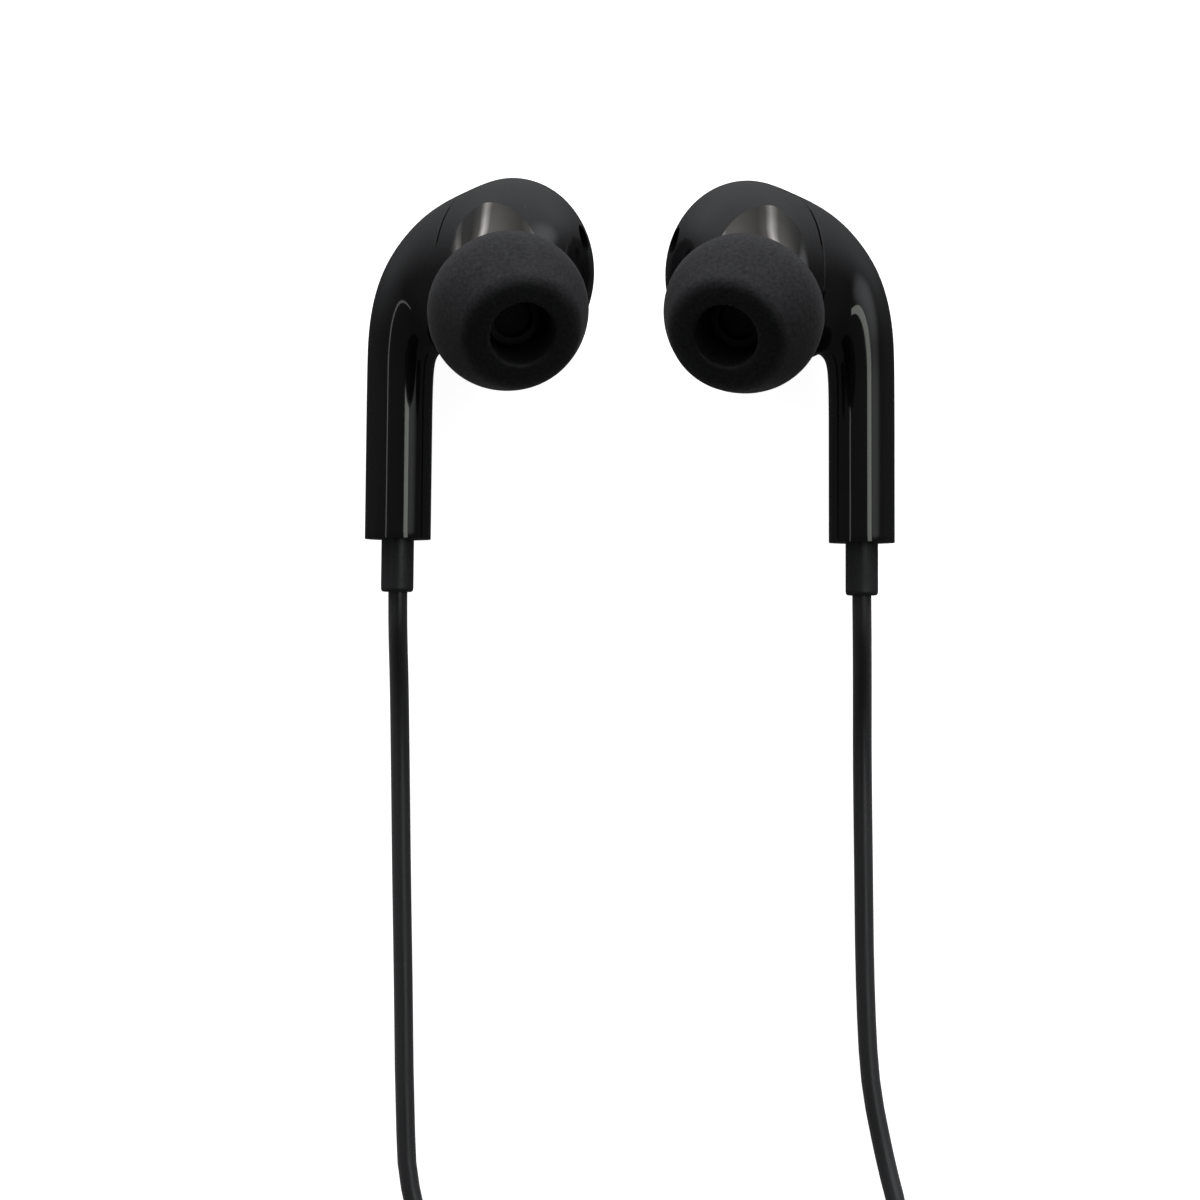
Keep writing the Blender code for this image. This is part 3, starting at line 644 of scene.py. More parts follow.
def punched_disc(name, radius, pitch, place, tall=1.0):
    """A sheet of small squares, each pierced, trimmed to a round outline."""
    cells = int(2 * radius / pitch)
    bpy.ops.object.select_all(action="DESELECT")
    bpy.ops.mesh.primitive_grid_add(x_subdivisions=cells, y_subdivisions=cells, size=2 * radius)
    disc = bpy.context.object
    disc.name = name
    bpy.ops.object.mode_set(mode="EDIT")
    bpy.ops.mesh.select_mode(type="FACE")
    choose(disc, lambda face: face.calc_center_median().length > radius, "faces")
    bpy.ops.mesh.delete(type="FACE")
    bpy.ops.mesh.select_all(action="SELECT")
    bpy.ops.mesh.inset(thickness=pitch * 0.22, use_individual=True)
    bpy.ops.mesh.delete(type="FACE")
    bpy.ops.mesh.select_mode(type="VERT")
    bpy.ops.object.mode_set(mode="OBJECT")
    sheet = disc.modifiers.new("sheet", "SOLIDIFY")
    sheet.thickness = 0.06 * MM
    apply_all(disc)
    disc.data.transform(place @ Matrix.Diagonal((1.0, tall, 1.0, 1.0)))
    return disc


mesh_steel = make_mesh_steel()
guard_place = TIP_BASE + (BARREL_END - 0.75 * MM) * TIP_AXIS
wax_guard = punched_disc(
    "nozzle_mesh", 1.5 * MM, 0.16 * MM, axis_frame(guard_place, TIP_AXIS)
)
vent_guard = punched_disc("vent_mesh", 0.95 * MM, 0.14 * MM, vent_frame(-1.35 * MM), tall=1.4)
for guard, node in ((wax_guard, "nozzle_mesh"), (vent_guard, "vent_mesh")):
    put_in_both_ears(guard, [node], mesh_steel)

# ---------------------------------------------------------------------------
# Ear tip. One piece of moulded silicone: a sleeve that grips the nozzle, rolled over at the
# front into a soft thin skirt. Its surface is matt and finely speckled.
# ---------------------------------------------------------------------------

TIP_RADIUS = 6.65 * MM
TIP_LENGTH = 7.6 * MM
TIP_HOLE_RADIUS = 2.65 * MM


def make_silicone():
    finish, tree, shader = new_finish("black_silicone", (0.028, 0.028, 0.03))
    shader.inputs["Sheen Weight"].default_value = 0.03
    shader.inputs["Sheen Roughness"].default_value = 0.4
    shader.inputs["Specular IOR Level"].default_value = 0.12
    cloudy = noise_height(tree, 3200.0, 5.0)
    colour_by_mask(tree, shader, cloudy.outputs[0], (0.003, 0.003, 0.0035), (0.024, 0.024, 0.026))
    add_wear(tree, shader, Smooth=0.5, Hazy=0.66)
    add_grain(tree, shader, 0.035 * MM, 3600.0, 4.0)
    return finish


ear_tip = turned(
    "ear_tip",
    [
        (TIP_HOLE_RADIUS, TIP_LENGTH - 1.1 * MM, 0.3 * MM),
        (TIP_HOLE_RADIUS, TIP_LENGTH, 0.4 * MM),
        (4.75 * MM, TIP_LENGTH - 0.1 * MM, 0.9 * MM),
        (6.4 * MM, 4.2 * MM, 1.8 * MM),
        (TIP_RADIUS + 0.02 * MM, 2.4 * MM, 1.2 * MM),
        (TIP_RADIUS - 0.3 * MM, 0.68 * MM, 0.3 * MM),
        (TIP_RADIUS - 0.7 * MM, 0.75 * MM, 0.2 * MM),
        (TIP_RADIUS - 0.5 * MM, TIP_LENGTH - 5.2 * MM, 1.2 * MM),
        (TIP_RADIUS - 0.8 * MM, TIP_LENGTH - 3.4 * MM, 1.2 * MM),
        (TIP_RADIUS - 1.7 * MM, TIP_LENGTH - 2.0 * MM, 1.0 * MM),
        (3.4 * MM, TIP_LENGTH - 1.4 * MM, 0.5 * MM),
        (3.4 * MM, 1.4 * MM, 0.15 * MM),
        (TIP_HOLE_RADIUS, 1.4 * MM, 0.15 * MM),
    ],
    tip_frame(),
    closed=True,
    sides=128,
    steps=7,
)
tip_bodies = ("left_tip", "right_tip")
put_in_both_ears(ear_tip, ["ear_tip"], make_silicone(), tip_bodies)

# ---------------------------------------------------------------------------
# Stem end. A glossy cap is pressed into the stem's open end, and the cable's strain relief, a
# plain matt rubber sleeve, comes out through it.
# ---------------------------------------------------------------------------

CABLE_RADIUS = 0.8 * MM
RELIEF_RADIUS = 1.36 * MM
down_the_stem = axis_frame(Vector((0.0, STEM_END_Y, 0.0)), Vector((0.0, -1.0, 0.0)))


def make_matt_rubber():
    finish, tree, shader = new_finish("matt_black_rubber", (0.014, 0.014, 0.0145))
    add_wear(tree, shader, Smooth=0.42, Hazy=0.58, Patch_Scale=300.0)
    plain, specked = (0.014, 0.014, 0.016), (0.05, 0.05, 0.055)
    add_specks(tree, shader, plain, specked, Scale=3600.0, Size=0.16, Share=0.12)
    add_grain(tree, shader, 0.02 * MM, 3800.0, 3.0)
    return finish


matt_rubber = make_matt_rubber()
cap_radius = STEM_RADIUS - WALL - 0.05 * MM
stem_cap = turned(
    "stem_cap",
    [
        (cap_radius, -0.12 * MM, 0.1 * MM),
        (cap_radius, -1.6 * MM, 0.1 * MM),
        (1.42 * MM, -1.6 * MM, 0.1 * MM),
        (1.42 * MM, -0.12 * MM, 0.08 * MM),
    ],
    down_the_stem,
    closed=True,
)
put_in_both_ears(stem_cap, ["stem_cap"], gloss_plastic)

strain_relief = turned(
    "strain_relief",
    [
        (CABLE_RADIUS + 0.02 * MM, 4.38 * MM, 0.08 * MM),
        (RELIEF_RADIUS, 4.38 * MM, 0.35 * MM),
        (RELIEF_RADIUS, -1.8 * MM, 0.02 * MM),
        (1.8 * MM, -1.8 * MM, 0.1 * MM),
        (1.8 * MM, -2.6 * MM, 0.1 * MM),
        (CABLE_RADIUS + 0.02 * MM, -2.6 * MM, 0.05 * MM),
    ],
    down_the_stem,
    closed=True,
)
put_in_both_ears(strain_relief, ["strain_relief"], matt_rubber)

# ---------------------------------------------------------------------------
# Branch cables. Two soft jacketed cables come out of the strain reliefs, run straight down
# the table and are wound side by side into the bottom of the coil, then go into the split.
# ---------------------------------------------------------------------------

MAIN_CABLE_RADIUS = 1.0 * MM
COIL_CENTRE = Vector((0.0, -92.0, 0.0)) * MM
COIL_BOTTOM = 0.9 * MM
BRANCH_OUTER_RADIUS = 16.8 * MM
LEFT_ROUTE = [
    (-19.3, -14.6, 3.95),
    (-19.35, -17.3, 4.0),
    (-19.35, -20.5, 3.6),
    (-19.3, -25.0, 1.9),
    (-19.25, -31.0, 0.9),
    (-19.15, -40.0, 0.82),
    (-19.0, -50.0, 0.82),
    (-18.85, -60.0, 0.82),
    (-18.4, -67.0, 0.82),
    (-16.2, -72.6, 0.9),
    (-10.0, -75.0, 1.3),
]
RIGHT_ROUTE = [
    (19.3, -14.9, 4.3),
    (19.3, -17.75, 4.4),
    (19.35, -21.0, 3.9),
    (19.45, -25.5, 1.9),
    (19.5, -31.5, 0.9),
    (19.6, -40.0, 0.82),
    (19.75, -50.0, 0.82),
    (20.2, -58.0, 0.82),
    (21.4, -64.5, 0.9),
    (22.45, -69.0, 1.5),
    (22.6, -72.2, 1.9),
    (22.6, -80.0, 1.9),
    (22.6, -92.0, 1.9),
    (22.6, -99.8, 1.9),
    (22.0, -103.5, 1.5),
    (19.4, -107.2, 1.2),
    (15.0, -109.0, 1.3),
    (9.6, -109.4, 1.4),
]


def smooth_route(points, steps):
    """Points along one smooth curve through the route's own points."""
    spline = []
    padded = [points[0] * 2 - points[1], *points, points[-1] * 2 - points[-2]]
    for i in range(1, len(padded) - 2):
        before, start, end, after = padded[i - 1 : i + 3]
        for k in range(steps):
            t = k / steps
            spline.append(
                0.5
                * (
                    2 * start
                    + (end - before) * t
                    + (2 * before - 5 * start + 4 * end - after) * t**2
                    + (3 * start - before - 3 * end + after) * t**3
                )
            )
    spline.append(points[-1])
    return spline


def in_mm(route):
    return [Vector(point) * MM for point in route]


def on_the_coil(turn, radius, height):
    """A point on the winding. Turn 0 is at its +Y side, and it goes round clockwise."""
    angle = turn * math.tau
    return COIL_CENTRE + Vector((radius * math.sin(angle), radius * math.cos(angle), height))


def eased(t):
    t = min(1.0, max(0.0, t))
    return t * t * (3.0 - 2.0 * t)


STEPS_PER_TURN = 48


def branch_winding(start, end, offset):
    """The pair's winding: in along the table, then up a layer and out again."""
    inward, pitch = 1.9, 3.2 * MM
    points = []
    for k in range(int((end - start) * STEPS_PER_TURN) + 1):
        turn = start + k / STEPS_PER_TURN
        reach = abs(inward - turn)
        radius = BRANCH_OUTER_RADIUS - inward * pitch + reach * pitch
        height = COIL_BOTTOM + CABLE_RADIUS
        height += 2 * CABLE_RADIUS * eased((turn - inward + 0.12) / 0.24)
        points.append(on_the_coil(turn, radius + offset, height))
    return points


def make_cable(name, points, radius, finish):
    curve = bpy.data.curves.new(name, "CURVE")
    curve.dimensions = "3D"
    curve.bevel_depth = radius
    curve.bevel_resolution = 5
    curve.use_fill_caps = True
    spline = curve.splines.new("POLY")
    spline.points.add(len(points) - 1)
    for target, point in zip(spline.points, points):
        target.co = (*point, 1.0)
    spline.use_smooth = True
    curve.materials.append(finish)
    cable = bpy.data.objects.new(name, curve)
    bpy.context.scene.collection.objects.link(cable)
    return cable


def make_cable_jacket():
    """Soft extruded elastomer: matt, with a low broad sheen along its length."""
    finish, tree, shader = new_finish("cable_jacket", (0.018, 0.018, 0.02))
    shader.inputs["Sheen Weight"].default_value = 0.08
    add_wear(tree, shader, Smooth=0.36, Hazy=0.5, Patch_Scale=220.0)
    plain, specked = (0.018, 0.018, 0.02), (0.05, 0.05, 0.053)
    add_specks(tree, shader, plain, specked, Scale=2600.0, Size=0.12, Share=0.08)
    add_grain(tree, shader, 0.01 * MM, 2600.0, 3.0)
    return finish


cable_jacket = make_cable_jacket()
SPLIT_X = -20.9 * MM
SPLIT_LOW_Y = -97.8 * MM
SPLIT_Z = 2.0 * MM
left_end = [(-19.3, -101.6, 2.9), (-20.05, -98.6, 2.1), (-20.08, -97.0, 2.0), (-20.1, -95.5, 2.0)]
right_end = [(-20.9, -101.6, 2.6), (-21.6, -98.6, 2.1), (-21.7, -97.0, 2.0), (-21.7, -95.5, 2.0)]
left_path = smooth_route(
    in_mm(LEFT_ROUTE) + branch_winding(0.0, 3.6, 0.0) + in_mm(left_end), 3
)
right_path = smooth_route(
    in_mm(RIGHT_ROUTE) + branch_winding(0.52, 3.6, 1.6 * MM) + in_mm(right_end), 3
)
left_cable = make_cable("left_cable_finished", left_path, CABLE_RADIUS, cable_jacket)
finish_piece(left_cable, "root", ["left_cable", "cable_coil"])
right_cable = make_cable("right_cable_finished", right_path, CABLE_RADIUS, cable_jacket)
finish_piece(right_cable, "root", ["right_cable_upper", "right_cable_lower"])

# ---------------------------------------------------------------------------
# Split. A small moulded elastomer body, flattened, where the two branches become one cable.
# It lies on the table beside the coil.
# ---------------------------------------------------------------------------

split_frame = axis_frame(Vector((SPLIT_X, SPLIT_LOW_Y, SPLIT_Z)), Vector((0.0, 1.0, 0.0)))
y_split = turned(
    "y_split_finished",
    [
        (0.0, 12.0 * MM, 0.0),
        (1.35 * MM, 12.0 * MM, 0.25 * MM),
        (1.6 * MM, 8.0 * MM, 1.5 * MM),
        (2.12 * MM, 4.0 * MM, 1.5 * MM),
        (2.2 * MM, 0.0, 0.5 * MM),
        (0.0, 0.0, 0.0),
    ],
    split_frame @ Matrix.Diagonal((1.0, 0.85, 1.0, 1.0)),
)
finish_piece(y_split, "root", ["y_split"], matt_rubber)

# ---------------------------------------------------------------------------
# Remote. A slim housing in two glossy halves on the right cable, with a sprung button, a
# microphone hole and a short tapered relief at each end.
# ---------------------------------------------------------------------------

REMOTE_SIZE = Vector((5.4, 20.0, 3.9)) * MM
REMOTE_LOW, REMOTE_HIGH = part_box("remote_base")
REMOTE_X = (REMOTE_LOW[0] + REMOTE_HIGH[0]) / 2
REMOTE_Y = (REMOTE_LOW[1] + REMOTE_HIGH[1]) / 2
REMOTE_AXIS_Z = 1.9 * MM


def rounded_block(name, size, centre, across_round, edge_round):
    """A block with round upright corners and softer top and bottom edges."""
    bpy.ops.object.select_all(action="DESELECT")
    bpy.ops.mesh.primitive_cube_add(size=1.0)
    block = bpy.context.object
    block.name = name
    bpy.ops.object.mode_set(mode="EDIT")
    bpy.ops.mesh.select_all(action="SELECT")
    bpy.ops.transform.resize(value=size)
    bpy.ops.mesh.select_mode(type="EDGE")
    choose(block, lambda edge: abs(edge.verts[0].co.z - edge.verts[1].co.z) > size.z / 2, "edges")
    bpy.ops.mesh.bevel(offset=across_round, segments=10)
    nearly_top = size.z / 2 * 0.999
    if edge_round > 0.0:
        choose(
            block,
            lambda edge: all(vert.co.z > nearly_top for vert in edge.verts)
            and any(abs(face.normal.z) < 0.5 for face in edge.link_faces),
            "edges",
        )
        bpy.ops.mesh.bevel(offset=edge_round, segments=5)
    bpy.ops.mesh.select_mode(type="VERT")
    bpy.ops.object.mode_set(mode="OBJECT")
    block.data.transform(Matrix.Translation(centre))
    return block


def flipped(block):
    """Turns a block over about the remote's own long axis."""
    middle = Matrix.Translation((REMOTE_X, REMOTE_Y, 0.0))
    block.data.transform(middle @ Matrix.Rotation(math.pi, 4, "Y") @ middle.inverted())


base_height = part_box("remote_base")[1][2]
remote_base = rounded_block(
    "remote_base_finished",
    Vector((REMOTE_SIZE.x, REMOTE_SIZE.y, base_height)),
    Vector((REMOTE_X, REMOTE_Y, -base_height / 2)),
    1.6 * MM,
    0.7 * MM,
)
flipped(remote_base)
cover_low, cover_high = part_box("remote_cover")
cover_height = cover_high[2] - cover_low[2] + 0.15 * MM
remote_cover = rounded_block(
    "remote_cover_finished",
    Vector((REMOTE_SIZE.x, REMOTE_SIZE.y, cover_height)),
    Vector((REMOTE_X, REMOTE_Y, cover_high[2] - cover_height / 2)),
    1.6 * MM,
    0.9 * MM,
)
button_low, button_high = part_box("remote_button")
button_centre = Vector((REMOTE_X, (button_low[1] + button_high[1]) / 2, 0.0))
hollow_size = REMOTE_SIZE - Vector((1.4, 1.4, 1.4)) * MM
hollow = rounded_block(
    "hollow", hollow_size, Vector((REMOTE_X, REMOTE_Y, REMOTE_SIZE.z / 2)), 1.0 * MM, 0.0
)
hollow_copy = copied(hollow)
cut_away(remote_base, hollow)
cut_away(remote_cover, hollow_copy)
opening = rounded_block(
    "opening",
    Vector((3.1, 7.3, 4.0)) * MM,
    button_centre + Vector((0.0, 0.0, cover_high[2])),
    1.45 * MM,
    0.0,
)
cut_away(remote_cover, opening)
MIC_Y = REMOTE_Y - 6.5 * MM
cut_away(remote_cover, cutting_rod(Matrix.Translation((REMOTE_X, MIC_Y, cover_high[2])), 0.4 * MM))
for half, node in ((remote_base, "remote_base"), (remote_cover, "remote_cover")):
    round_edges(half, 0.06 * MM, 2, 50.0)
    smooth_by_angle(half)
    finish_piece(half, "root", [node], gloss_plastic)

button_foot = button_low[2] + 0.1 * MM
button_size = Vector((2.75 * MM, 6.95 * MM, button_high[2] - button_foot))
remote_button = rounded_block(
    "remote_button_finished",
    button_size,
    button_centre + Vector((0.0, 0.0, (button_high[2] + button_foot) / 2)),
    1.3 * MM,
    0.35 * MM,
)
smooth_by_angle(remote_button)
finish_piece(remote_button, "button", ["remote_button"], matt_rubber)

remote_reliefs = []
for side, node in ((1.0, "remote_upper_relief"), (-1.0, "remote_lower_relief")):
    end = Vector((REMOTE_X, REMOTE_Y + side * (REMOTE_SIZE.y / 2 + 0.05 * MM), REMOTE_AXIS_Z))
    relief = turned(
        f"{node}_finished",
        [
            (CABLE_RADIUS + 0.02 * MM, 3.65 * MM, 0.05 * MM),
            (1.12 * MM, 3.65 * MM, 0.2 * MM),
            (1.2 * MM, 2.2 * MM, 1.0 * MM),
            (1.55 * MM, 0.0, 0.1 * MM),
            (CABLE_RADIUS + 0.02 * MM, 0.0, 0.0),
        ],
        axis_frame(end, Vector((0.0, side, 0.0))),
        closed=True,
        sides=48,
    )
    finish_piece(relief, "root", [node], matt_rubber)
    remote_reliefs.append(relief)

# ---------------------------------------------------------------------------
# Main cable. The thicker shared cable comes out of the split, climbs onto the pair's winding,
# is wound three layers high on it, and leaves over its own last turns for the plug.
# ---------------------------------------------------------------------------

MAIN_OUTER_RADIUS = 16.9 * MM
MAIN_START = [(-20.9, -88.0, 2.0), (-20.9, -85.4, 2.1), (-20.3, -82.6, 3.0), (-17.4, -78.6, 4.7)]
MAIN_END = [
    (-9.4, -110.2, 8.2),
    (-13.4, -112.8, 5.4),
    (-17.6, -115.4, 2.2),
    (-22.0, -116.2, 1.2),
    (-25.8, -113.8, 1.8),
    (-27.2, -109.3, 3.1),
    (-27.2, -105.5, 3.1),
]


def main_winding():
    """Three layers a diameter apart: in, out, and part of the way in again."""
    first, last, layer_turns = 0.93, 9.42, 3.15
    pitch, lead_out = 2.0 * MM, 4.2 * MM
    ground = COIL_BOTTOM + 4 * CABLE_RADIUS + MAIN_CABLE_RADIUS
    points = []
    for k in range(int((last - first) * STEPS_PER_TURN) + 1):
        turn = k / STEPS_PER_TURN
        layer, into = divmod(turn, layer_turns)
        inset = into if layer % 2 == 0 else layer_turns - into
        climb = sum(eased((turn - layer_turns * step + 0.1) / 0.2) for step in (1, 2))
        hump = eased((first + turn - last + 0.17) / 0.13)
        radius = MAIN_OUTER_RADIUS - inset * pitch
        radius += lead_out * eased((first + turn - last + 0.1) / 0.2)
        height = ground + 2 * MAIN_CABLE_RADIUS * (climb + hump)
        points.append(on_the_coil(first + turn, radius, height))
    return points


main_path = smooth_route(in_mm(MAIN_START) + main_winding() + in_mm(MAIN_END), 3)
main_cable = make_cable("main_cable_finished", main_path, MAIN_CABLE_RADIUS, cable_jacket)
finish_piece(main_cable, "root", ["main_cable_start", "main_cable_end"])

# ---------------------------------------------------------------------------
# Coil ties. Two flat elastic bands hold the winding together. Each keeps the size and the
# turn of its own node.
# ---------------------------------------------------------------------------


def make_tie(name, node):
    """A band of the node's own size and turn, with its outer corners rounded."""
    tie = copied(bpy.data.objects[node])
    tie.name = name
    tie.hide_render = False
    for key in [key for key in tie.keys() if key.startswith("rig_")]:
        del tie[key]
    make_active(tie)
    bpy.ops.object.mode_set(mode="EDIT")
    bpy.ops.mesh.select_all(action="SELECT")
    bpy.ops.mesh.remove_doubles(threshold=1e-6)
    bpy.ops.mesh.dissolve_limited(angle_limit=math.radians(2.0))
    bpy.ops.object.mode_set(mode="OBJECT")
    round_edges(tie, 0.28 * MM, 4, 40.0)
    smooth_by_angle(tie)
    tie.data.materials.clear()
    finish_piece(tie, "root", [node], matt_rubber)
    return tie


coil_ties = [make_tie(f"{node}_finished", node) for node in ("coil_tie_left", "coil_tie_right")]

# ---------------------------------------------------------------------------
# Plug. A straight four-contact jack: gold-plated brass sleeve, two rings and a tip on an
# insulating core, in a moulded grip with a tapered strain relief.
# ---------------------------------------------------------------------------

GRIP_LOW, GRIP_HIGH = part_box("plug_grip")
PLUG_X = (GRIP_LOW[0] + GRIP_HIGH[0]) / 2
GRIP_RADIUS = (GRIP_HIGH[0] - GRIP_LOW[0]) / 2
plug_frame = axis_frame(Vector((PLUG_X, GRIP_HIGH[1], GRIP_RADIUS)), Vector((0.0, 1.0, 0.0)))
JACK_RADIUS = 1.75 * MM
CORE_RADIUS = 0.95 * MM


def make_gold():
    finish, tree, shader = new_finish("gold_plate", (0.83, 0.58, 0.26), 1.0)
    add_wear(tree, shader, Smooth=0.14, Hazy=0.3, Patch_Scale=400.0)
    add_grain(tree, shader, 0.002 * MM, 2600.0)
    return finish


gold = make_gold()
plug_grip = turned(
    "plug_grip_finished",
    [
        (2.3 * MM, 0.0, 0.05 * MM),
        (GRIP_RADIUS, 0.0, 0.45 * MM),
        (GRIP_RADIUS, -3.0 * MM, 0.1 * MM),
        (GRIP_RADIUS - 0.16 * MM, -3.2 * MM, 0.1 * MM),
        (GRIP_RADIUS - 0.16 * MM, -3.8 * MM, 0.1 * MM),
        (GRIP_RADIUS, -4.0 * MM, 0.1 * MM),
        (GRIP_RADIUS, -12.5 * MM, 2.0 * MM),
        (GRIP_RADIUS - 0.5 * MM, -14.9 * MM, 0.4 * MM),
        (1.62 * MM, -14.9 * MM, 0.05 * MM),
        (1.62 * MM, -6.0 * MM, 0.0),
        (2.3 * MM, -5.0 * MM, 0.0),
    ],
    plug_frame,
    closed=True,
)
finish_piece(plug_grip, "root", ["plug_grip"], matt_rubber)

relief_corners = [(MAIN_CABLE_RADIUS + 0.02 * MM, -20.95 * MM, 0.05 * MM)]
relief_corners.append((1.27 * MM, -20.95 * MM, 0.12 * MM))
for rib in range(5):
    near = -20.5 * MM + rib * 1.1 * MM
    swell = 1.24 * MM + rib * 0.075 * MM
    relief_corners += [
        (swell, near, 0.1 * MM),
        (swell, near + 0.7 * MM, 0.1 * MM),
        (swell - 0.18 * MM, near + 0.75 * MM, 0.05 * MM),
        (swell - 0.18 * MM, near + 1.05 * MM, 0.05 * MM),
    ]
relief_corners += [(1.58 * MM, -14.9 * MM, 0.1 * MM), (1.58 * MM, -7.0 * MM, 0.0)]
relief_corners.append((MAIN_CABLE_RADIUS + 0.02 * MM, -7.0 * MM, 0.0))
plug_relief = turned("plug_relief_finished", relief_corners, plug_frame, closed=True, sides=48)
finish_piece(plug_relief, "root", ["plug_relief"], matt_rubber)

contacts = []
plug_sleeve = turned(
    "plug_sleeve_finished",
    [
        (JACK_RADIUS, 5.42 * MM, 0.06 * MM),
        (JACK_RADIUS, 0.6 * MM, 0.1 * MM),
        (2.2 * MM, 0.6 * MM, 0.12 * MM),
        (2.2 * MM, -4.6 * MM, 0.1 * MM),
        (CORE_RADIUS + 0.05 * MM, -4.6 * MM, 0.0),
        (CORE_RADIUS + 0.05 * MM, 5.42 * MM, 0.0),
    ],
    plug_frame,
    closed=True,
)
contacts.append((plug_sleeve, "plug_sleeve"))
for node, start, end in (("plug_ring_2", 6.0, 7.9), ("plug_ring_1", 8.5, 10.2)):
    ring = turned(
        f"{node}_finished",
        [
            (JACK_RADIUS, end * MM, 0.06 * MM),
            (JACK_RADIUS, start * MM, 0.06 * MM),
            (CORE_RADIUS + 0.05 * MM, start * MM, 0.0),
            (CORE_RADIUS + 0.05 * MM, end * MM, 0.0),
        ],
        plug_frame,
        closed=True,
    )
    contacts.append((ring, node))
plug_tip = turned(
    "plug_tip_finished",
    [
        (0.0, 14.0 * MM, 0.0),
        (0.75 * MM, 13.95 * MM, 0.5 * MM),
        (JACK_RADIUS, 12.35 * MM, 0.5 * MM),
        (1.25 * MM, 11.55 * MM, 0.5 * MM),
        (JACK_RADIUS, 11.1 * MM, 0.15 * MM),
        (JACK_RADIUS, 10.8 * MM, 0.06 * MM),
        (CORE_RADIUS + 0.05 * MM, 10.8 * MM, 0.0),
        (CORE_RADIUS + 0.05 * MM, 12.0 * MM, 0.0),
        (0.0, 12.0 * MM, 0.0),
    ],
    plug_frame,
)
contacts.append((plug_tip, "plug_tip"))
for contact, node in contacts:
    finish_piece(contact, "root", [node], gold)

core_corners = [(0.0, 11.9 * MM, 0.0), (CORE_RADIUS, 11.9 * MM, 0.0)]
for end in (10.2, 7.9, 5.4):
    core_corners += [
        (CORE_RADIUS, (end + 0.56) * MM, 0.0),
        (JACK_RADIUS - 0.04 * MM, (end + 0.56) * MM, 0.05 * MM),
        (JACK_RADIUS - 0.04 * MM, (end + 0.04) * MM, 0.05 * MM),
        (CORE_RADIUS, (end + 0.04) * MM, 0.0),
    ]
core_corners += [(CORE_RADIUS, -4.4 * MM, 0.0), (0.0, -4.4 * MM, 0.0)]
plug_core = turned("plug_insulator_finished", core_corners, plug_frame, sides=48)
finish_piece(plug_core, "root", ["plug_insulator"], matt_rubber)

# ---------------------------------------------------------------------------
# Cords. The pieces that sit on the remote, which rides on the right cable, are gathered into one
# list.
# ---------------------------------------------------------------------------

on_remote = [remote_base, remote_cover, remote_button, *remote_reliefs]
on_remote += [bpy.data.objects[n] for n in ("remote_board", "remote_switch", "remote_microphone")]

# ---------------------------------------------------------------------------
# Works inside. The drivers, boards, switch and wires keep their modelled shapes, and each
# gets the finish of its own stuff.
# ---------------------------------------------------------------------------


def make_stamped_steel(name, colour, smooth, hazy):
    finish, tree, shader = new_finish(name, colour, 1.0)
    add_wear(tree, shader, Smooth=smooth, Hazy=hazy, Patch_Scale=500.0)
    add_grain(tree, shader, 0.006 * MM, 1800.0)
    return finish


def make_board():
    finish, tree, shader = new_finish("circuit_board", (0.01, 0.08, 0.03))
    plain, specked = (0.01, 0.08, 0.03), (0.45, 0.42, 0.3)
    add_specks(tree, shader, plain, specked, Scale=1200.0, Size=0.25, Share=0.2)
    shader.inputs["Roughness"].default_value = 0.4
    return finish


def make_film():
    finish, tree, shader = new_finish("diaphragm_film", (0.6, 0.5, 0.32))
    add_wear(tree, shader, Smooth=0.2, Hazy=0.35, Patch_Scale=400.0)
    return finish


def refinish(node, finish):
    piece = bpy.data.objects[node]
    piece.data.materials.clear()
    piece.data.materials.append(finish)


stamped_steel = make_stamped_steel("stamped_steel", (0.5, 0.5, 0.5), 0.3, 0.45)
magnet_nickel = make_stamped_steel("magnet_nickel", (0.38, 0.37, 0.36), 0.22, 0.35)
circuit_board = make_board()
film = make_film()
INSIDE = {
    "driver_frame": stamped_steel,
    "driver_magnet": magnet_nickel,
    "driver_diaphragm": film,
    "driver_gasket": matt_rubber,
    "driver_board": circuit_board,
    "inner_lead": cable_jacket,
}
for side in ("left", "right"):
    for node, finish in INSIDE.items():
        refinish(f"{side}_{node}", finish)
refinish("remote_board", circuit_board)
refinish("remote_switch", stamped_steel)
refinish("remote_microphone", stamped_steel)

# ---------------------------------------------------------------------------
# Studio. A plain white light table in a dark room: one broad soft light low beyond the buds,
# a softer one high on the right and a thin one on the left that only the gloss shows, and a
# camera looking straight down.
# ---------------------------------------------------------------------------

TABLE_GLOW = 0.93

bpy.ops.object.select_all(action="DESELECT")
bpy.ops.mesh.primitive_plane_add(size=6.0, location=(0.0, 0.0, -0.0002))
table = bpy.context.object
table.name = "table"
white, _, white_shader = new_finish("white_table", (0.87, 0.87, 0.87))
white_shader.inputs["Roughness"].default_value = 0.9
white_shader.inputs["Specular IOR Level"].default_value = 0.0
white_shader.inputs["Emission Color"].default_value = (1.0, 1.0, 1.0, 1.0)
white_shader.inputs["Emission Strength"].default_value = TABLE_GLOW
table.data.materials.append(white)
table.visible_glossy = False


def eased_range(tree, value, start, end, low, high):
    """Goes smoothly from low to high while the value goes from start to end."""
    ease = tree.nodes.new("ShaderNodeMapRange")
    ease.interpolation_type = "SMOOTHSTEP"
    ease.inputs["From Min"].default_value = start
    ease.inputs["From Max"].default_value = end
    ease.inputs["To Min"].default_value = low
    ease.inputs["To Max"].default_value = high
    tree.links.new(value, ease.inputs["Value"])
    return ease.outputs[0]


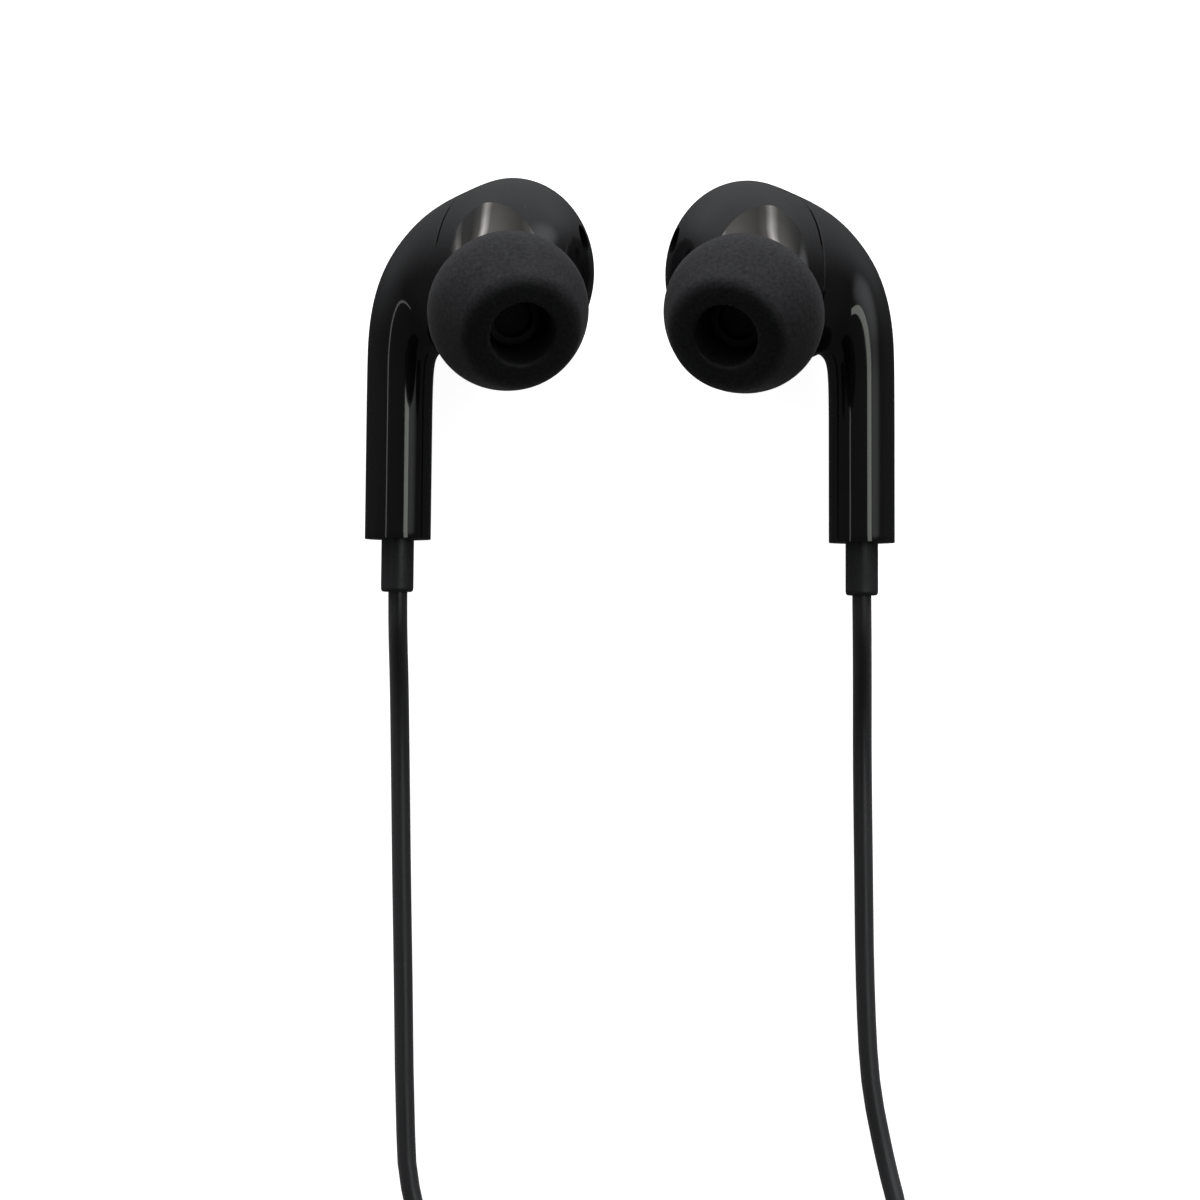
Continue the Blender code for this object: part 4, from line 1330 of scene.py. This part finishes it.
def make_room():
    """A dark room that grows soft and pale towards the far side, and less so low down, with a
    broad soft patch high on the far right that only the gloss shows."""
    room = bpy.data.worlds.new("studio")
    room.use_nodes = True
    tree = room.node_tree
    place = tree.nodes.new("ShaderNodeTexCoord")
    parted = tree.nodes.new("ShaderNodeSeparateXYZ")
    tree.links.new(place.outputs["Generated"], parted.inputs[0])
    far = eased_range(tree, parted.outputs["Y"], 0.0, 0.9, 0.07, 0.75)
    low_down = eased_range(tree, parted.outputs["Z"], -0.9, 0.1, 0.4, 1.0)
    strength = math_node(tree, "MULTIPLY", far, low_down)
    patch_way = Vector((0.62, 0.42, 0.66)).normalized()
    towards = vector_node(tree, "DOT_PRODUCT", place.outputs["Generated"], patch_way)
    patch = eased_range(tree, towards["Value"], 0.84, 0.99, 0.0, 0.85)
    rays = tree.nodes.new("ShaderNodeLightPath")
    in_gloss = math_node(tree, "MULTIPLY", patch, rays.outputs["Is Glossy Ray"])
    strength = math_node(tree, "ADD", strength, in_gloss)
    tree.links.new(strength, tree.nodes["Background"].inputs["Strength"])
    tree.nodes["Background"].inputs["Color"].default_value = (0.96, 0.98, 1.0, 1.0)
    return room


bpy.context.scene.world = make_room()


def add_softbox(name, place, size, radiance, tint=(1.0, 1.0, 1.0)):
    """A rectangular lamp aimed at the middle of the table, by how bright its face looks."""
    lamp = bpy.data.lights.new(name, "AREA")
    lamp.shape = "RECTANGLE"
    lamp.size, lamp.size_y = size
    lamp.energy = radiance * math.pi * lamp.size * lamp.size_y
    lamp.color = tint
    light = bpy.data.objects.new(name, lamp)
    light.location = place
    light.rotation_euler = (-Vector(place)).to_track_quat("-Z", "Y").to_euler()
    bpy.context.scene.collection.objects.link(light)
    return light


far_softbox = add_softbox("far_softbox", (0.0, 0.8, 0.19), (1.6, 0.3), 13.0)
far_softbox.visible_glossy = False
right_strip = add_softbox("right_strip", (0.235, 0.03, 0.48), (0.3, 0.13), 2.2, (0.93, 1.0, 0.9))
left_strip = add_softbox("left_strip", (-0.37, 0.03, 0.42), (0.4, 0.03), 1.6, (0.95, 1.0, 0.9))
for strip in (right_strip, left_strip):
    strip.visible_diffuse = False

camera_data = bpy.data.cameras.new("camera")
camera_data.lens = 180.0
camera_data.sensor_width = 36.0
camera_data.clip_start = 0.01
camera = bpy.data.objects.new("camera", camera_data)
camera.location = (-0.0025, -0.0177, 0.504)
bpy.context.scene.collection.objects.link(camera)
bpy.context.scene.camera = camera
bpy.context.scene.view_settings.view_transform = "Standard"
